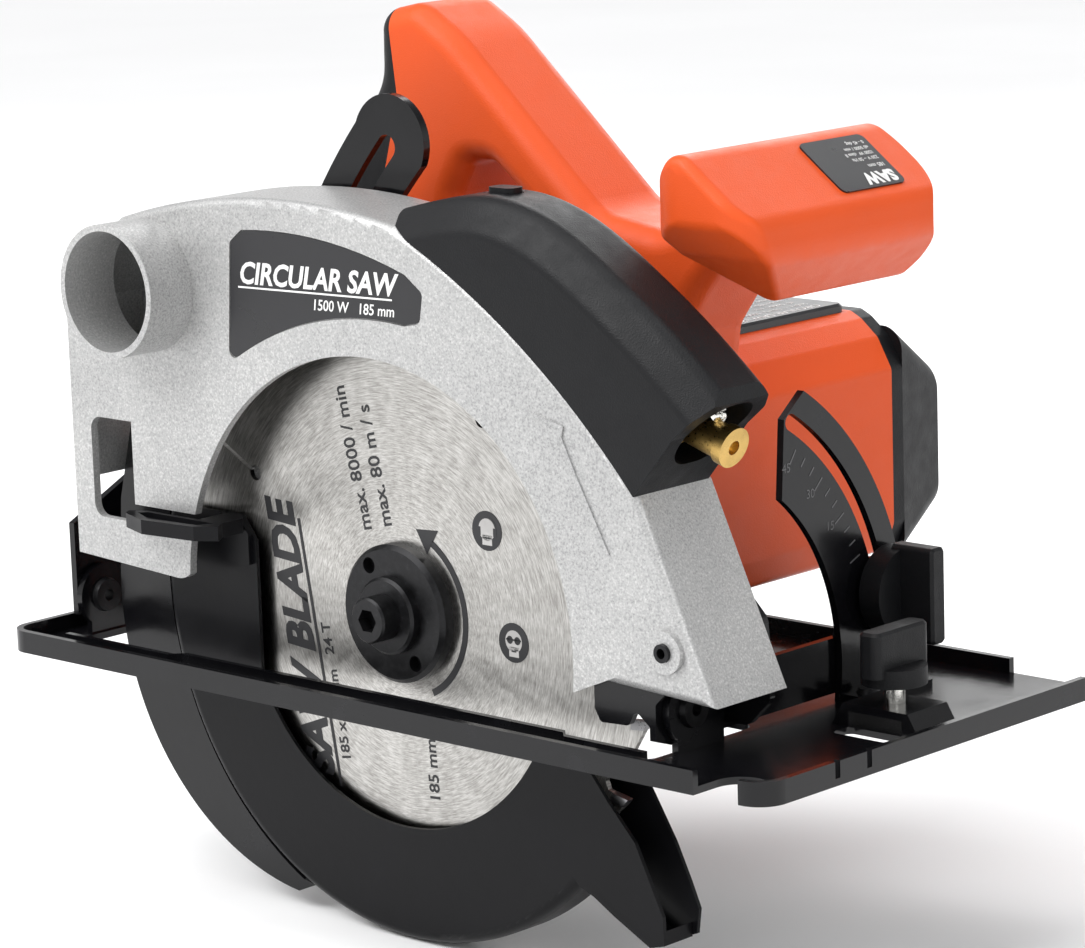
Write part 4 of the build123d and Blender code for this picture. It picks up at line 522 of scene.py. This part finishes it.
motor_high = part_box("motor_label")[1]
MOTOR_MARGIN_X, MOTOR_MARGIN_Y, MOTOR_LINE_GAP = 5.0 * MM, 8.0 * MM, 4.6 * MM
MOTOR_LINES = (
    ("CIRCULAR SAW 185 mm", 3.0), ("230 V ~  50 Hz  1500 W", 2.2), ("n0  5000 / min", 2.2),
    ("blade 185 x 20 mm", 2.2), ("depth 0 - 65 mm", 2.2), ("bevel 0 - 45 deg", 2.2),
)
for row, (words, size) in enumerate(MOTOR_LINES):
    spot = (
        motor_high.x - MOTOR_MARGIN_X - row * MOTOR_LINE_GAP,
        motor_high.y - MOTOR_MARGIN_Y,
        motor_high.z + PRINT_LIFT,
    )
    print_text(
        f"motor_line_{row}", words, size * MM,
        plate_matrix(spot, (0, -1, 0), (0, 0, 1)), "saw_body", WHITE_INK,
    )

# bevel scale on the quadrant, centred on the bevel hinge
QUADRANT_THICKNESS = 2.2 * MM
QUADRANT_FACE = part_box("bevel_quadrant")[0].x + QUADRANT_THICKNESS + PRINT_LIFT
TILT_Z = 13 * MM
TICK_OUTER, TICK_WIDTH, LONG_TICK, SHORT_TICK = 76.5 * MM, 0.45 * MM, 4.6 * MM, 2.8 * MM
NUMBER_RADIUS, NUMBER_HEIGHT = 69.5 * MM, 2.6 * MM


def scale_turn(bevel):
    """Place of a bevel angle round the hinge, in degrees."""
    return 22.0 + bevel * 0.72


ticks = []
for bevel in range(0, 46, 5):
    turn = scale_turn(bevel)
    length = LONG_TICK if bevel % 15 == 0 else SHORT_TICK
    radius = TICK_OUTER - length / 2
    ticks.append(
        bar(radius * cos(radians(turn)), radius * sin(radians(turn)), length, TICK_WIDTH, turn)
    )
add_piece(
    "bevel_scale",
    flat_mesh("bevel_scale", ticks),
    plate_matrix((QUADRANT_FACE, 0, TILT_Z), (0, 1, 0), (1, 0, 0)),
    "shoe", ENGRAVED,
)
for bevel in (15, 30, 45):
    turn = radians(scale_turn(bevel))
    spot = (QUADRANT_FACE, NUMBER_RADIUS * cos(turn), TILT_Z + NUMBER_RADIUS * sin(turn))
    print_text(
        f"bevel_number_{bevel}", str(bevel), NUMBER_HEIGHT,
        plate_matrix(spot, (0, 1, 0), (1, 0, 0)), "shoe", ENGRAVED,
        0.0, 0.0, "CENTER",
    )


# ---------------------------------------------------------------- small hardware
def cross_screw(name, matrix, radius, body, look):
    """Domed screw head with a cross recess and a washer below it."""
    shape = bmesh.new()
    # radius and height of each ring, as shares of the head's radius
    rings = (
        (1.25, 0.0), (1.25, 0.18), (1.0, 0.2), (1.0, 0.45), (0.86, 0.68), (0.55, 0.82), (0.30, 0.86),
    )
    segments = 32
    previous = None
    for ratio, rise in rings:
        ring = []
        for i in range(segments):
            angle = tau * i / segments
            cross = abs(cos(2 * angle)) ** 6
            dip = 0.45 * cross if ratio < 0.7 else 0.0
            ring.append(
                shape.verts.new(
                    (ratio * radius * cos(angle), ratio * radius * sin(angle), (rise - dip) * radius)
                )
            )
        if previous:
            for i in range(segments):
                j = (i + 1) % segments
                shape.faces.new((previous[i], previous[j], ring[j], ring[i]))
        else:
            shape.faces.new(list(reversed(ring)))
        previous = ring
    centre = shape.verts.new((0, 0, 0.35 * radius))
    for i in range(segments):
        shape.faces.new((previous[i], previous[(i + 1) % segments], centre))
    mesh = bpy.data.meshes.new(name)
    shape.to_mesh(mesh)
    shape.free()
    for face in mesh.polygons:
        face.use_smooth = True
    return add_piece(name, mesh, matrix, body, look)


cross_screw(
    "laser_clamp_screw",
    plate_matrix((117.6 * MM, -0.5 * MM, 93.6 * MM), (0, 1, 0), (0.94, -0.1, 0.3)),
    2.3 * MM, "saw_body", LOOKS["zinc_screw"],
)


# ---------------------------------------------------------------- floor, light and camera
FLOOR_GAP, FLOOR_REACH = 0.5 * MM, 14.0


def make_floor():
    """Plain pale floor just under the lowest point of the saw."""
    drop = cad_box[0][2] - FLOOR_GAP
    reach = FLOOR_REACH
    mesh = bpy.data.meshes.new("floor")
    mesh.from_pydata(
        [(-reach, -reach, drop), (reach, -reach, drop), (reach, reach, drop), (-reach, reach, drop)],
        [],
        [(0, 1, 2, 3)],
    )
    floor = bpy.data.objects.new("floor", mesh)
    bpy.context.scene.collection.objects.link(floor)
    material, tree, shader, place = new_material("floor_paper", 0.0, 0.9)
    tone = noise(tree, place, 3, 2.0)
    stops = ((0.3, (0.90, 0.90, 0.90)), (0.7, (0.93, 0.93, 0.93)))
    tree.links.new(ramp(tree, tone, stops), shader.inputs["Base Color"])
    mesh.materials.append(material)


def area_light(name, spot, aim, width, height, power):
    """Soft box that looks at a point."""
    data = bpy.data.lights.new(name, "AREA")
    data.shape = "RECTANGLE"
    data.size = width
    data.size_y = height
    data.energy = power
    lamp = bpy.data.objects.new(name, data)
    bpy.context.scene.collection.objects.link(lamp)
    lamp.location = spot
    away = Vector(spot) - Vector(aim)
    lamp.rotation_euler = away.to_track_quat("Z", "Y").to_euler()


def even_light(name, toward, strength):
    """Broad soft light from one side that reaches all of the floor alike."""
    data = bpy.data.lights.new(name, "SUN")
    data.energy = strength
    data.angle = radians(60)
    lamp = bpy.data.objects.new(name, data)
    bpy.context.scene.collection.objects.link(lamp)
    lamp.rotation_euler = Vector(toward).to_track_quat("Z", "Y").to_euler()


def make_world():
    """Pale surroundings that fall off to grey overhead, like a studio with a dim ceiling."""
    world = bpy.data.worlds.new("studio")
    world.use_nodes = True
    tree = world.node_tree
    background = tree.nodes["Background"]
    coords = tree.nodes.new("ShaderNodeTexCoord")
    split = tree.nodes.new("ShaderNodeSeparateXYZ")
    tree.links.new(coords.outputs["Generated"], split.inputs[0])
    stops = ((0.0, (1.0, 1.0, 1.0)), (0.22, (0.95, 0.95, 0.95)), (0.55, (0.30, 0.30, 0.31)))
    tree.links.new(ramp(tree, split.outputs["Z"], stops), background.inputs["Color"])
    background.inputs["Strength"].default_value = 1.0
    bpy.context.scene.world = world


CAMERA_PLACE = (0.82160, -0.81242, 0.29295)
CAMERA_LENS = 140.58


def make_camera():
    """Camera at the photograph's angle."""
    azimuth, elevation, roll = radians(43.355), radians(11.273), radians(-1.897)
    back = Vector(
        (sin(azimuth) * cos(elevation), -cos(azimuth) * cos(elevation), sin(elevation))
    )
    right = (-back).cross(Vector((0, 0, 1))).normalized()
    up = right.cross(-back)
    x_axis = right * cos(roll) + up * sin(roll)
    y_axis = up * cos(roll) - right * sin(roll)
    data = bpy.data.cameras.new("photo_view")
    data.sensor_width = 36.0
    data.lens = CAMERA_LENS
    data.clip_end = 60.0
    camera = bpy.data.objects.new("photo_view", data)
    bpy.context.scene.collection.objects.link(camera)
    turn = Matrix((x_axis, y_axis, back)).transposed().to_4x4()
    camera.matrix_world = Matrix.Translation(CAMERA_PLACE) @ turn
    bpy.context.scene.camera = camera


make_floor()
make_world()
AIM = (0.0, 0.03, 0.05)
area_light("key", (-0.5, -1.3, 1.3), AIM, 0.9, 0.7, 13)
area_light("front", (1.5, -0.6, 0.9), AIM, 0.7, 0.7, 6)
area_light("top", (0.2, 0.2, 1.7), AIM, 1.0, 1.0, 8)
area_light("back", (-0.6, 1.4, 0.9), AIM, 1.0, 0.8, 9)
even_light("room", (-0.35, -0.55, 1.0), 2.3)
make_camera()
bpy.context.scene.view_settings.view_transform = "Standard"
